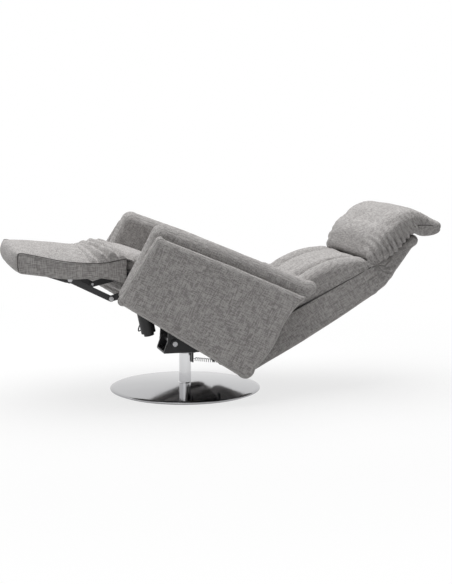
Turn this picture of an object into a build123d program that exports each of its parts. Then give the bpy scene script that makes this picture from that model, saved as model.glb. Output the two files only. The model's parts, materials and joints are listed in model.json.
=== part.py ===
from build123d import *
import math
import os

# Reclining swivel armchair in its lying position. Millimetres, +Z up, the sitter faces -Y,
# +X is the sitter's left, and the origin is on the floor under the swivel axis.

# Pose in which the chair is modelled: slope of the seat rails, and of the back's rear face
seat_slope = -26.8
back_slope = -60.6

# Round foot and column
disc_radius = 300.0
disc_rim = 12.0
disc_crown = 30.0
disc_wall = 10.0
pad_radius = 285.0
pad_height = 4.0
column_radius = 24.0
column_wall = 4.0
column_top = 150.0
flange_radius = 68.0
flange_height = 8.0
bolt_radius = 4.0
bolt_head = 7.0
bolt_circle = 50.0
spindle_radius = 16.0
bush_length = 30.0
bush_lip = 3.0
running = 0.05
seat_gap = 0.3

# Turret on the spindle and the tilt axis
tilt_y = -60.0
tilt_z = 200.0
turret_flange = 40.0
turret_height = 7.0
plate_height = 8.0
plate_front = -100.0
plate_rear = 42.0
cheek_inner = 58.0
cheek_thick = 8.0
cheek_round = 24.0
turret_bolt_circle = 30.0
shaft_radius = 10.0
nut_radius = 17.0
nut_length = 8.0
bracket_thick = 5.0
bracket_width = 24.0
bracket_drop = 44.0
bracket_clear = 3.0

# Seat frame, in the seat's own plane: u to the rear, w up, both from the tilt axis
shell_half = 245.0
rail_inner = shell_half - 23
rail_width = 20.0
rail_height = 40.0
rail_wall = 2.0
rail_w = 160.0
rail_overhang = 22.0
knee_u = -403.0
crank_u = -230.0
back_u = 232.0
bar_radius = 15.0
bar_wall = 2.5
bar_w = 150.0
front_bar_u = -345.0
mid_bar_u = -60.0
rear_bar_u = 150.0
hub_radius = 28.0
tilt_bush_wall = 4.0
side_plate_thick = 8.0
strap_thick = 2.0
strap_width = 50.0
strap_count = 6
stub_radius = 15.0
stub_places = (-120.0, 170.0)

# Footrest crank: from the knee axis to the link pin, and the same from the crank shaft
arm_u = -109.0
arm_w = -98.0
bracket_x = rail_inner - 19
plate_thick = 5.0
link_x = bracket_x + 7
link_thick = 6.0
link_half = 11.0
pin_radius = 5.0
pin_head = 9.0
knee_pin_radius = 6.0
knee_roll_radius = 58.0
knee_roll_core = 16.0
knee_cap_radius = 50.0
pocket_half = rail_inner

# Widths of the upholstery
seat_half = shell_half + 2
foot_half = shell_half + 13
arm_inner = shell_half + 7
arm_outer = arm_inner + 86
board_outer = arm_outer + 8
panel_outer = board_outer + 39
shell_side = 27.0
cushion_half = shell_half - 98
pillow_half = shell_half + 33

# Back frame and head hinge, in the back's own plane: b to the rear, h up, from the back axis
head_b = 72.0
head_h = 559.0
drawn_head_b = 72.0
drawn_head_h = 559.0
head_knuckle = 50.0
back_side_x = rail_inner - 22
back_side_thick = 12.0
back_side_half = 16.0
cross_radius = 10.0
cross_b = 42.0
cross_heights = (150.0, 320.0, 480.0)
head_arm_x = back_side_x - 14
head_arm_thick = 10.0
head_pin_radius = 7.0
head_board_thick = 8.0

# Gear motors, control box and switch
gearbox_radius = 38.0
gearbox_drop = 22.0
gearbox_half = 30.0
motor_radius = 29.0
foot_motor_length = 215.0
foot_motor_angle = -51.0
back_motor_x = 120.0
back_motor_length = 160.0
back_motor_angle = -120.0
lead_radius = 2.5
switch_u = -200.0
switch_w = 325.0
switch_thick = 6.0
rocker_length = 24.0
rocker_width = 14.0
rocker_thick = 2.6
rocker_step = 40.0

# Balance spring between the turret bracket and the seat's rear lug
spring_radius = 6.5
spring_wire = 1.25
spring_pitch = 8.0
spring_lead = 5.0
spring_bend = 3.0
spring_turns = 12
spring_start_z = 121.0
spring_slope = -8.0

parts = {}
seat = Pos(0, tilt_y, tilt_z) * Rot(seat_slope, 0, 0)


def seat_point(u, w):
    slope = math.radians(seat_slope)
    y = tilt_y + u * math.cos(slope) - w * math.sin(slope)
    z = tilt_z + u * math.sin(slope) + w * math.cos(slope)
    return y, z


knee_y, knee_z = seat_point(knee_u, rail_w)
back_y, back_z = seat_point(back_u, rail_w)
back = Pos(0, back_y, back_z) * Rot(back_slope, 0, 0)
foot = Pos(0, knee_y, knee_z)


def cylinder_x(radius, x_low, x_high, across, up):
    middle = (x_low + x_high) / 2
    return Pos(middle, across, up) * Rot(0, 90, 0) * Cylinder(radius, x_high - x_low)


def tube_x(radius, bore, x_low, x_high, across, up):
    outer = cylinder_x(radius, x_low, x_high, across, up)
    return outer - cylinder_x(bore, x_low - 1, x_high + 1, across, up)


def block(x_low, x_high, a_low, a_high, b_low, b_high):
    size = (x_high - x_low, a_high - a_low, b_high - b_low)
    place = ((x_low + x_high) / 2, (a_low + a_high) / 2, (b_low + b_high) / 2)
    return Pos(*place) * Box(*size)


def slab(x_low, x_high, points):
    face = make_face(Polyline(*[(x_low, a, b) for a, b in points], close=True))
    return extrude(face, amount=x_high - x_low, dir=(1, 0, 0))


def mirror_x(solid):
    return solid.mirror(Plane.YZ)


def outline(x, start, steps):
    # A closed outline across one station: a step of two numbers is a line, of four an arc
    edges = []
    here = start
    for step in steps:
        end = step[-2:]
        if len(step) == 4:
            edges.append(Edge.make_three_point_arc((x, *here), (x, *step[:2]), (x, *end)))
        else:
            edges.append(Edge.make_line((x, *here), (x, *end)))
        here = end
    if math.dist(here, start) > 0.01:
        edges.append(Edge.make_line((x, *here), (x, *start)))
    return Wire(edges)


def between(centre, edge, share):
    return tuple(c + (e - c) * share for c, e in zip(centre, edge))


def padded(places, centre, edge):
    # An upholstered form: its full outline in the middle draws in to the edge outline
    wires = []
    for x, share in places:
        steps = [between(c, e, share) for c, e in zip(centre, edge)]
        wires.append(outline(x, steps[0], steps[1:]))
    return Solid.make_loft(wires)


def stations(low, high, shoulder):
    # Places across a padded form, and how far its outline has drawn in at each
    middle = (low + high) / 2
    inner = low + shoulder
    if middle - low > shoulder * 2.5:
        left = [(low, 1.0), (low + shoulder * 0.25, 0.5), (inner, 0.13), ((inner + middle) / 2, 0.03)]
    else:
        left = [(low, 1.0), (inner, 0.35)]
    right = [(low + high - x, share) for x, share in reversed(left)]
    return left + [(middle, 0.0)] + right


# Foot: felt floor pad, weighted disc, column with its foot flange, bolts and bushes
parts["floor_pad"] = Pos(0, 0, pad_height / 2) * Cylinder(pad_radius, pad_height)

rim_middle = (disc_radius * 0.55, disc_rim + (disc_crown - disc_rim) * 0.70)
disc_edges = [
    Edge.make_line((0, 0, pad_height), (disc_radius - 6, 0, pad_height)),
    Edge.make_three_point_arc(
        (disc_radius - 6, 0, pad_height),
        (disc_radius, 0, (pad_height + disc_rim) / 2),
        (disc_radius - 4, 0, disc_rim),
    ),
    Edge.make_three_point_arc(
        (disc_radius - 4, 0, disc_rim),
        (rim_middle[0], 0, rim_middle[1]),
        (0, 0, disc_crown),
    ),
    Edge.make_line((0, 0, disc_crown), (0, 0, pad_height)),
]
disc = revolve(Face(Wire(disc_edges)), axis=Axis.Z, revolution_arc=360)
disc -= Pos(0, 0, disc_crown / 2) * Cylinder(column_radius, disc_crown * 2)
recess_top = pad_height + flange_height
disc -= Pos(0, 0, recess_top / 2) * Cylinder(flange_radius + seat_gap, recess_top)
hollow_edges = Polyline(
    (flange_radius + 14, 0, pad_height), (pad_radius - 10, 0, pad_height),
    (pad_radius - 10, 0, pad_height + 1.5), (flange_radius + 14, 0, disc_crown - disc_wall), close=True
)
disc -= revolve(make_face(hollow_edges), axis=Axis.Z, revolution_arc=360)

column = Pos(0, 0, (recess_top + column_top) / 2) * Cylinder(column_radius, column_top - recess_top)
column += Pos(0, 0, pad_height + flange_height / 2) * Cylinder(flange_radius, flange_height)
column_bore = column_radius - column_wall
column -= Pos(0, 0, column_top / 2) * Cylinder(column_bore, column_top * 2)

bolts = []
for corner in range(4):
    angle = math.radians(45 + 90 * corner)
    spot = Pos(bolt_circle * math.cos(angle), bolt_circle * math.sin(angle), 0)
    shank = spot * Pos(0, 0, pad_height + 7) * Cylinder(bolt_radius, 14)
    head = spot * Pos(0, 0, pad_height + 2) * Cylinder(bolt_head, 4)
    bolt = shank + head
    column -= bolt
    disc -= bolt
    bolts.append(bolt.solid())
parts["base_disc"] = disc
parts["column"] = column
parts["column_bolts"] = Compound(children=bolts)

bushes = []
for low in (column_top - bush_length, recess_top + 20):
    bush = Pos(0, 0, low + bush_length / 2) * Cylinder(column_bore, bush_length)
    if low + bush_length >= column_top:
        bush += Pos(0, 0, column_top + bush_lip / 2) * Cylinder(column_radius, bush_lip)
    bush -= Pos(0, 0, low) * Cylinder(spindle_radius + running, bush_length * 3)
    bushes.append(bush.solid())
parts["column_bushes"] = Compound(children=bushes)

# Turret: spindle, yoke, its bolts, tilt shaft, nuts, spring bracket
turret_base = column_top + bush_lip
plate_low = turret_base + turret_height
plate_high = plate_low + plate_height
spindle = Pos(0, 0, (recess_top + 20 + turret_base) / 2) * Cylinder(
    spindle_radius, turret_base - recess_top - 20
)
spindle += Pos(0, 0, turret_base + turret_height / 2) * Cylinder(turret_flange, turret_height)

cheek_outer = cheek_inner + cheek_thick
yoke = block(-cheek_outer, cheek_outer, plate_front, plate_rear, plate_low, plate_high)
cheek_shape = (
    (plate_front, plate_low),
    (plate_rear, plate_low),
    (plate_rear - 10, plate_high),
    (tilt_y + cheek_round, tilt_z + cheek_round * 0.5),
    (tilt_y + cheek_round * 0.5, tilt_z + cheek_round),
    (tilt_y - cheek_round * 0.5, tilt_z + cheek_round),
    (tilt_y - cheek_round, tilt_z + cheek_round * 0.5),
    (plate_front, plate_high),
)
cheek = slab(cheek_inner, cheek_outer, cheek_shape)
yoke += cheek + mirror_x(cheek)
yoke -= cylinder_x(shaft_radius, -cheek_outer - 1, cheek_outer + 1, tilt_y, tilt_z)

bolts = []
for corner in range(4):
    angle = math.radians(45 + 90 * corner)
    x = turret_bolt_circle * math.cos(angle)
    y = turret_bolt_circle * math.sin(angle)
    shank_height = plate_high - turret_base
    bolt = Pos(x, y, turret_base + shank_height / 2) * Cylinder(bolt_radius, shank_height)
    bolt += Pos(x, y, plate_high + 2.5) * Cylinder(bolt_head, 5)
    yoke -= bolt
    spindle -= bolt
    bolts.append(bolt.solid())
parts["spindle"] = spindle
parts["turret_yoke"] = yoke
parts["turret_bolts"] = Compound(children=bolts)

side_plate_inner = cheek_outer + 1
side_plate_outer = side_plate_inner + side_plate_thick
nut_low = side_plate_outer + 1
shaft_end = nut_low + nut_length + 4
parts["tilt_shaft"] = cylinder_x(shaft_radius, -shaft_end, shaft_end, tilt_y, tilt_z)
nut = slab(nut_low, nut_low + nut_length, [
    (tilt_y + nut_radius * math.cos(math.radians(60 * k)),
     tilt_z + nut_radius * math.sin(math.radians(60 * k))) for k in range(6)
])
nut -= cylinder_x(shaft_radius, nut_low - 1, nut_low + nut_length + 1, tilt_y, tilt_z)
parts["tilt_nuts"] = Compound(children=[nut.solid(), mirror_x(nut).solid()])

bracket_y = column_radius + bracket_clear
bracket_half = bracket_width / 2
bracket = block(-bracket_half, bracket_half, bracket_y, bracket_y + bracket_thick,
                turret_base - bracket_drop, turret_base)
bracket += block(-bracket_half, bracket_half, bracket_y, turret_flange,
                 turret_base - bracket_thick, turret_base)
parts["spring_bracket"] = bracket

# Balance spring: half turns in tilted planes, with straight ends along the spring's axis
half_rise = spring_pitch / 2
bow = math.hypot(spring_radius, spring_pitch / 4)
start = spring_lead + spring_bend
spring_path = [
    Edge.make_line((spring_radius, -spring_bend, 0), (spring_radius, -spring_bend, spring_lead)),
    Edge.make_three_point_arc(
        (spring_radius, -spring_bend, spring_lead),
        (spring_radius, -spring_bend * math.sqrt(0.5), spring_lead + spring_bend * math.sqrt(0.5)),
        (spring_radius, 0, start),
    ),
]
for half in range(spring_turns * 2):
    side = 1 if half % 2 == 0 else -1
    low = start + half * half_rise
    spring_path.append(Edge.make_three_point_arc(
        (side * spring_radius, 0, low),
        (0, side * bow, low + half_rise / 2),
        (-side * spring_radius, 0, low + half_rise),
    ))
spring_top = start + spring_turns * spring_pitch
spring_path.append(Edge.make_three_point_arc(
    (spring_radius, 0, spring_top),
    (spring_radius, spring_bend * math.sqrt(0.5), spring_top + spring_bend * (1 - math.sqrt(0.5))),
    (spring_radius, spring_bend, spring_top + spring_bend),
))
spring_length = spring_top + spring_bend + spring_lead
spring_path.append(Edge.make_line(
    (spring_radius, spring_bend, spring_top + spring_bend),
    (spring_radius, spring_bend, spring_length),
))
spring_section = Pos(spring_radius, -spring_bend, 0) * RegularPolygon(spring_wire, 6)
spring = sweep(spring_section, path=Wire(spring_path))
print("spring gap between turns", round(spring_pitch - 2 * spring_wire, 2))
spring_place = Pos(0, bracket_y + bracket_thick, spring_start_z) * Rot(spring_slope - 90, 0, 0)
parts["balance_spring"] = spring_place * spring
slope = math.radians(spring_slope)
lug_y = bracket_y + bracket_thick + spring_length * math.cos(slope)
lug_z = spring_start_z + spring_length * math.sin(slope)

# Seat rails, crossbars and the side plates that carry them on the tilt shaft
rail_low = rail_w - rail_height / 2
rail_high = rail_w + rail_height / 2
rail_front = knee_u - rail_overhang
rail_rear = back_u + rail_overhang
rail = block(rail_inner, rail_inner + rail_width, rail_front, rail_rear, rail_low, rail_high)
rail -= block(rail_inner + rail_wall, rail_inner + rail_width - rail_wall, rail_front - 1, rail_rear + 1,
              rail_low + rail_wall, rail_high - rail_wall)
pivot_bush = shaft_radius + 3
for u, radius in ((knee_u, knee_pin_radius + running), (crank_u, pivot_bush), (back_u, pivot_bush)):
    rail -= cylinder_x(radius, rail_inner - 1, rail_inner + rail_width + 1, u, rail_w)
parts["side_rail_left"] = seat * rail
parts["side_rail_right"] = seat * mirror_x(rail)

bushes = []
for u in (crank_u, back_u):
    bush = tube_x(pivot_bush, shaft_radius + running, rail_inner, rail_inner + rail_width, u, rail_w)
    bushes += [(seat * bush).solid(), (seat * mirror_x(bush)).solid()]
parts["rail_bushes"] = Compound(children=bushes)

front_bar = tube_x(bar_radius, bar_radius - bar_wall, -rail_inner, rail_inner, front_bar_u, rail_w)
parts["front_crossbar"] = seat * front_bar
mid_bar = tube_x(bar_radius, bar_radius - bar_wall, -rail_inner, rail_inner, mid_bar_u, bar_w)
parts["mid_crossbar"] = seat * mid_bar

cosine = math.cos(math.radians(seat_slope))
sine = math.sin(math.radians(seat_slope))
lug_u = (lug_y - tilt_y) * cosine + (lug_z - tilt_z) * sine
lug_w = -(lug_y - tilt_y) * sine + (lug_z - tilt_z) * cosine
rear_bar = tube_x(bar_radius, bar_radius - bar_wall, -rail_inner, rail_inner, rear_bar_u, bar_w)
spring_in_seat = math.radians(spring_slope - seat_slope)
along = (math.cos(spring_in_seat), math.sin(spring_in_seat))
upward = (-along[1], along[0])
lug = slab(-bracket_half, bracket_half, [
    (lug_u - upward[0] * 12, lug_w - upward[1] * 12),
    (lug_u + upward[0] * 16, lug_w + upward[1] * 16),
    (rear_bar_u - 8, bar_w - bar_radius + 3),
    (rear_bar_u + 12, bar_w - 8),
    (lug_u + upward[0] * 22 + along[0] * 8, lug_w + upward[1] * 22 + along[1] * 8),
    (lug_u - upward[0] * 12 + along[0] * 8, lug_w - upward[1] * 12 + along[1] * 8),
])
lug -= cylinder_x(bar_radius - bar_wall, -rail_inner, rail_inner, rear_bar_u, bar_w)
parts["rear_crossbar"] = seat * (rear_bar + lug)

side_shape = (
    (mid_bar_u - 25, rail_high - 8),
    (rear_bar_u + 25, rail_high - 8),
    (rear_bar_u + 25, bar_w - 20),
    (hub_radius * 0.85, -hub_radius * 0.5),
    (-hub_radius * 0.85, -hub_radius * 0.5),
    (mid_bar_u - 25, bar_w - 20),
)
side_plate = slab(side_plate_inner, side_plate_outer, side_shape)
side_plate += cylinder_x(hub_radius, side_plate_inner, side_plate_outer, 0, 0)
tilt_bush_radius = shaft_radius + tilt_bush_wall
side_plate -= cylinder_x(tilt_bush_radius, side_plate_inner - 1, side_plate_outer + 1, 0, 0)
for u in (mid_bar_u, rear_bar_u):
    side_plate -= cylinder_x(bar_radius, side_plate_inner - 1, side_plate_outer + 1, u, bar_w)
window = slab(side_plate_inner - 1, side_plate_outer + 1, (
    (mid_bar_u + 40, bar_w - 30), (rear_bar_u - 40, bar_w - 30), (20, 62), (-20, 62)
))
side_plate -= window
parts["tilt_plate_left"] = seat * side_plate
parts["tilt_plate_right"] = seat * mirror_x(side_plate)
bush = seat * tube_x(tilt_bush_radius, shaft_radius + running, side_plate_inner, side_plate_outer, 0, 0)
parts["tilt_bushes"] = Compound(children=[bush.solid(), mirror_x(bush).solid()])

straps = []
strap_low = rail_high
strap_first = crank_u - 60
strap_last = back_u - 75
for k in range(strap_count):
    u = strap_first + (strap_last - strap_first) * k / (strap_count - 1)
    straps.append((seat * block(-rail_inner - rail_width, rail_inner + rail_width, u - strap_width / 2,
                                u + strap_width / 2, strap_low, strap_low + strap_thick)).solid())
parts["seat_webbing"] = Compound(children=straps)

# Seat cushion, cut round the knee roll
cushion_low = strap_low + strap_thick + seat_gap
cushion_middle = (
    (-350, cushion_low), (168, cushion_low), (194, 217, 168, 252), (-110, 268, -392, 246),
    (-420, 236, -412, 212),
)
cushion_edge = (
    (-350, cushion_low), (156, cushion_low), (176, 207, 156, 232), (-110, 243, -386, 226),
    (-404, 218, -398, 206),
)
cushion = padded(stations(-seat_half, seat_half, 45), cushion_middle, cushion_edge)
cushion -= cylinder_x(knee_roll_radius + 0.6, -seat_half - 5, seat_half + 5, knee_u, rail_w)
parts["seat_cushion"] = seat * cushion

# Arms: stubs on the rails, board, inner pad with its overhanging tip, and outer panel
stubs = []
for u in stub_places:
    stub = cylinder_x(stub_radius, rail_inner + rail_width, arm_outer + seat_gap, u, rail_w)
    stubs += [(seat * stub).solid(), (seat * mirror_x(stub)).solid()]
parts["arm_stubs"] = Compound(children=stubs)

pad_middle = (
    (-338, 80), (225, 42), (255, 60, 264, 150), (276, 290, 300, 392), (322, 402), (346, 424, 346, 440),
    (330, 452, 300, 452), (40, 440, -290, 408), (-326, 396, -338, 362), (-342, 230, -348, 110),
    (-348, 90, -338, 80),
)
pad_edge = (
    (-328, 92), (218, 56), (244, 72, 252, 150), (264, 290, 288, 380), (306, 394), (322, 406, 322, 416),
    (312, 424, 292, 424), (40, 412, -282, 380), (-316, 370, -326, 344), (-332, 230, -336, 118),
    (-336, 98, -328, 92),
)
arm_pad = padded(stations(arm_inner, arm_outer, (arm_outer - arm_inner) * 0.2), pad_middle, pad_edge)
for u in stub_places:
    arm_pad -= cylinder_x(stub_radius + seat_gap, arm_inner - 1, arm_outer + 1, u, rail_w)
parts["arm_pad_left"] = seat * arm_pad
parts["arm_pad_right"] = seat * mirror_x(arm_pad)

board = slab(arm_outer + seat_gap, board_outer, (
    (-318, 100), (210, 40), (250, 120), (270, 350), (-300, 325)
))
parts["arm_board_left"] = seat * board
parts["arm_board_right"] = seat * mirror_x(board)

panel_middle = (
    (-322, 60), (196, 4), (232, 6, 248, 56), (274, 150, 276, 230), (284, 310, 304, 374),
    (304, 392, 288, 391), (0, 376, -296, 354), (-322, 352, -328, 334), (-342, 220, -353, 92),
    (-352, 64, -322, 60),
)
panel_edge = (
    (-316, 72), (192, 17), (222, 20, 237, 62), (262, 152, 264, 230), (271, 306, 288, 366),
    (288, 379, 278, 378), (0, 363, -292, 342), (-311, 340, -316, 326), (-330, 220, -340, 98),
    (-340, 76, -316, 72),
)
panel_inner = board_outer + seat_gap
panel = padded(stations(panel_inner, panel_outer, (panel_outer - panel_inner) * 0.24), panel_middle, panel_edge)
parts["arm_panel_left"] = seat * panel
parts["arm_panel_right"] = seat * mirror_x(panel)

# Footrest crank shaft with its two arms, and the pins that carry the links
crank_pin = (crank_u + arm_u, rail_w + arm_w)
crank_length = math.hypot(arm_u, arm_w)
normal = (-arm_w / crank_length, arm_u / crank_length)


def lever(x_low, x_high, centre_u, centre_w, half):
    du = normal[0] * half
    dw = normal[1] * half
    tip_u = centre_u + arm_u
    tip_w = centre_w + arm_w
    body = slab(x_low, x_high, (
        (centre_u + du * 1.5, centre_w + dw * 1.5), (tip_u + du, tip_w + dw),
        (tip_u - du, tip_w - dw), (centre_u - du * 1.5, centre_w - dw * 1.5),
    ))
    body += cylinder_x(half * 1.5, x_low, x_high, centre_u, centre_w)
    return body + cylinder_x(half, x_low, x_high, tip_u, tip_w)


def link_stud(pin_u, pin_w):
    # Shoulder pin through a lever, carrying a link between the lever and its own head
    stud = cylinder_x(pin_radius, bracket_x, link_x + link_thick + seat_gap, pin_u, pin_w)
    head_low = link_x + link_thick + seat_gap
    return stud + cylinder_x(pin_head, head_low, head_low + 2.5, pin_u, pin_w)


bracket_far = bracket_x + plate_thick
crank = lever(bracket_x, bracket_far, crank_u, rail_w, link_half)
shaft_reach = rail_inner + rail_width
crank_shaft = cylinder_x(shaft_radius, -shaft_reach, shaft_reach, crank_u, rail_w)
crank -= cylinder_x(pin_radius, bracket_x - 1, bracket_far + 1, *crank_pin)
parts["crank_shaft"] = seat * (crank_shaft + crank + mirror_x(crank))
stud = seat * link_stud(*crank_pin)
parts["crank_pins"] = Compound(children=[stud.solid(), mirror_x(stud).solid()])

foot_pin = (knee_u + arm_u, rail_w + arm_w)
link = block(link_x, link_x + link_thick, foot_pin[0], crank_pin[0],
             foot_pin[1] - link_half, foot_pin[1] + link_half)
for pin in (foot_pin, crank_pin):
    link += cylinder_x(link_half, link_x, link_x + link_thick, *pin)
for pin in (foot_pin, crank_pin):
    link -= cylinder_x(pin_radius + running, link_x - 1, link_x + link_thick + 1, *pin)
parts["footrest_link_left"] = seat * link
parts["footrest_link_right"] = seat * mirror_x(link)

# Footrest: brackets, pins, board, knee roll with its end caps, and pad, from the knee axis
pin_y, pin_z = seat_point(*foot_pin)
pin_y -= knee_y
pin_z -= knee_z
board_front = -325.0
board_back = -75.0
board_fall = 22.0
board_thick = 10.0
board_top = 2.0


def board_height(y):
    return board_top - board_fall * (y - board_front) / (board_back - board_front)


board_shape = (
    (board_front, board_height(board_front)), (board_back, board_height(board_back)),
    (board_back, board_height(board_back) - board_thick),
    (board_front, board_height(board_front) - board_thick),
)
parts["footrest_board"] = foot * slab(-bracket_x, bracket_x, board_shape)

bracket = slab(bracket_x, bracket_far, (
    (-14, 12), (-52, board_height(-52) - 1), (-260, board_height(-260) - 1),
    (-262, board_height(-260) - board_thick), (pin_y - 14, pin_z - 12), (pin_y + 14, pin_z - 12),
    (8, -14),
))
bracket += cylinder_x(16, bracket_x, bracket_far, 0, 0)
bracket += cylinder_x(15, bracket_x, bracket_far, pin_y, pin_z)
bracket -= cylinder_x(knee_pin_radius, bracket_x - 1, bracket_far + 1, 0, 0)
bracket -= cylinder_x(pin_radius, bracket_x - 1, bracket_far + 1, pin_y, pin_z)
parts["footrest_bracket_left"] = foot * bracket
parts["footrest_bracket_right"] = foot * mirror_x(bracket)
stud = seat * link_stud(*foot_pin)
parts["footrest_pins"] = Compound(children=[stud.solid(), mirror_x(stud).solid()])

rail_far = rail_inner + rail_width
knee_bolt = cylinder_x(knee_pin_radius, bracket_x, rail_far + seat_gap, 0, 0)
knee_bolt += cylinder_x(knee_pin_radius + 5, rail_far + seat_gap, rail_far + 5, 0, 0)
knee_bolt += cylinder_x(knee_pin_radius + 4, bracket_far, rail_inner - seat_gap, 0, 0)
knee_bolt = foot * knee_bolt
parts["knee_bolts"] = Compound(children=[knee_bolt.solid(), mirror_x(knee_bolt).solid()])

roll_half = bracket_x - seat_gap
roll = tube_x(knee_roll_radius, knee_roll_core, -roll_half, roll_half, 0, 0)
roll -= block(-roll_half - 1, roll_half + 1, -knee_roll_radius - 1, knee_roll_radius + 1,
              -knee_roll_radius - 1, -8)
cap_inner = rail_far + 5 + seat_gap
cap = cylinder_x(knee_cap_radius, cap_inner, foot_half, 0, 0)
parts["knee_roll"] = Compound(children=[(foot * form).solid() for form in (roll, cap, mirror_x(cap))])
parts["knee_tube"] = foot * tube_x(knee_roll_core, knee_roll_core - 2, -bracket_x, bracket_x, 0, 0)

skirt = board_thick + 1


def pad_bottom(y):
    return y, board_height(y) - skirt


foot_middle = (
    pad_bottom(-30), pad_bottom(-328), (-362, 34, -334, 80), (-190, 87, -30, 61),
)
foot_edge = (
    pad_bottom(-30), pad_bottom(-318), (-342, 26, -318, 60), (-190, 52, -40, 32),
)
foot_pad = padded(stations(-foot_half, foot_half, 60), foot_middle, foot_edge)
foot_pad -= cylinder_x(knee_roll_radius + seat_gap, -foot_half - 5, foot_half + 5, 0, 0)
pocket_front = board_front - seat_gap
foot_pad -= slab(-pocket_half, pocket_half, (
    (0, board_height(0) + seat_gap), (pocket_front, board_height(pocket_front) + seat_gap),
    (pocket_front, board_height(pocket_front) - 60), (0, board_height(0) - 60),
))
parts["footrest_pad"] = foot * foot_pad.solids().sort_by(SortBy.VOLUME)[-1]

# The back's outlines are drawn for one back height, and follow the head hinge's real place


def raised(steps):
    return [tuple(v * head_h / drawn_head_h if k % 2 else v for k, v in enumerate(step)) for step in steps]


def at_head(steps):
    move = (head_b - drawn_head_b, head_h - drawn_head_h)
    return [tuple(v + move[k % 2] for k, v in enumerate(step)) for step in steps]


# Back: hinge shaft, side members, crossbars, tray shell, cushion and side bolsters
parts["back_shaft"] = back * cylinder_x(shaft_radius, -shaft_reach, shaft_reach, 0, 0)
back_side_outer = back_side_x + back_side_thick
side_line = ((0, 0), (cross_b + 6, 130), (cross_b + 14, 320), (head_b, head_h))
side = cylinder_x(back_side_half + 6, back_side_x, back_side_outer, 0, 0)
side += cylinder_x(back_side_half, back_side_x, back_side_outer, head_b, head_h)
for low, high in zip(side_line, side_line[1:]):
    length = math.dist(low, high)
    offset_b = (high[1] - low[1]) / length * back_side_half
    offset_h = -(high[0] - low[0]) / length * back_side_half
    side += slab(back_side_x, back_side_outer, (
        (low[0] - offset_b, low[1] - offset_h), (low[0] + offset_b, low[1] + offset_h),
        (high[0] + offset_b, high[1] + offset_h), (high[0] - offset_b, high[1] - offset_h),
    ))
    if high[1] < head_h:
        side += cylinder_x(back_side_half, back_side_x, back_side_outer, *high)
side -= cylinder_x(shaft_radius, back_side_x - 1, back_side_outer + 1, 0, 0)
side -= cylinder_x(head_pin_radius + running, back_side_x - 1, back_side_outer + 1, head_b, head_h)
parts["back_side_left"] = back * side
parts["back_side_right"] = back * mirror_x(side)
parts["back_crossbars"] = Compound(children=[
    (back * cylinder_x(cross_radius, -back_side_x, back_side_x, cross_b, h)).solid() for h in cross_heights
])

shell_middle = (
    (70, -92), (100, -90, 117, -66), (123, 200, 116, 490), (110, 524, 100, 556), (22, 556),
    (30, 480, 27, 440), (14, 330, -3, 205), (12, 140, 44, 60), (46, -30, 46, -68), (50, -90, 70, -92),
)
shell_edge = (
    (76, -74), (92, -72, 100, -54), (105, 200, 98, 486), (93, 518, 86, 548), (38, 548),
    (45, 480, 42, 440), (30, 330, 14, 207), (28, 144, 60, 62), (61, -20, 62, -56), (65, -72, 76, -74),
)
shell = padded(stations(-shell_half, shell_half, 24), raised(shell_middle), raised(shell_edge))
cavity_half = shell_half - shell_side
cavity = slab(-cavity_half, cavity_half, (
    (-60, -100), (82, -50), (92, 200), (90, head_h - 79), (80, head_h + 11), (-60, head_h + 11)
))
shell -= cavity
shell -= cylinder_x(head_knuckle + 0.6, -shell_half - 5, shell_half + 5, head_b, head_h)
parts["back_shell"] = back * shell.solids().sort_by(SortBy.VOLUME)[-1]

cushion_back = cross_b - cross_radius - seat_gap
back_middle = (
    (cushion_back, 112), (cushion_back, 420), (cushion_back - 8, 534), (-12, 546, -48, 516),
    (-84, 420, -99, 270), (-101, 172, -76, 126), (-36, 108, cushion_back, 112),
)
back_edge = (
    (cushion_back, 122), (cushion_back, 410), (cushion_back - 10, 522), (-14, 532, -40, 506),
    (-70, 412, -83, 270), (-85, 180, -64, 138), (-32, 118, cushion_back, 122),
)
back_cushion = padded(stations(-cushion_half, cushion_half, 40), raised(back_middle), raised(back_edge))
parts["back_cushion"] = back * back_cushion

bolster_middle = (
    (2, 150), (-6, 203), (10, 330, 22, 440), (25, 490, 14, 542), (-24, 538, -62, 498),
    (-97, 410, -107, 290), (-107, 176, -72, 130), (-20, 120, 2, 150),
)
bolster_edge = (
    (-2, 160), (-8, 206), (6, 330, 17, 440), (19, 480, 8, 528), (-22, 522, -50, 484),
    (-78, 400, -86, 290), (-86, 186, -60, 144), (-20, 134, -2, 160),
)
bolster_inner = cushion_half + seat_gap
bolster_places = stations(bolster_inner, shell_half, (shell_half - bolster_inner) * 0.22)
bolster = padded(bolster_places, raised(bolster_middle), raised(bolster_edge))
parts["back_bolster_left"] = back * bolster
parts["back_bolster_right"] = back * mirror_x(bolster)

# Head section: board with hinge arms and pins, shell with its knuckle, pillow
head_front = 12.0
board_low_h = head_h + 24
board_high_h = head_h + 180
head_board_back = head_front - seat_gap
head_board_front = head_board_back - head_board_thick
head_frame = slab(-back_side_x, back_side_x, (
    (head_board_front, board_low_h), (head_board_back, board_low_h),
    (head_board_back - 20, board_high_h), (head_board_front - 20, board_high_h),
))
head_arm = slab(head_arm_x, head_arm_x + head_arm_thick, (
    (head_board_front + 4, board_low_h), (head_board_front + 2, board_low_h + 36),
    (head_b + 4, head_h + 16), (head_b, head_h - 12), (head_b - 24, head_h - 8),
))
head_arm += cylinder_x(back_side_half, head_arm_x, head_arm_x + head_arm_thick, head_b, head_h)
head_arm += cylinder_x(head_pin_radius, head_arm_x, back_side_outer, head_b, head_h)
parts["head_frame"] = back * (head_frame + head_arm + mirror_x(head_arm))

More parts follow.
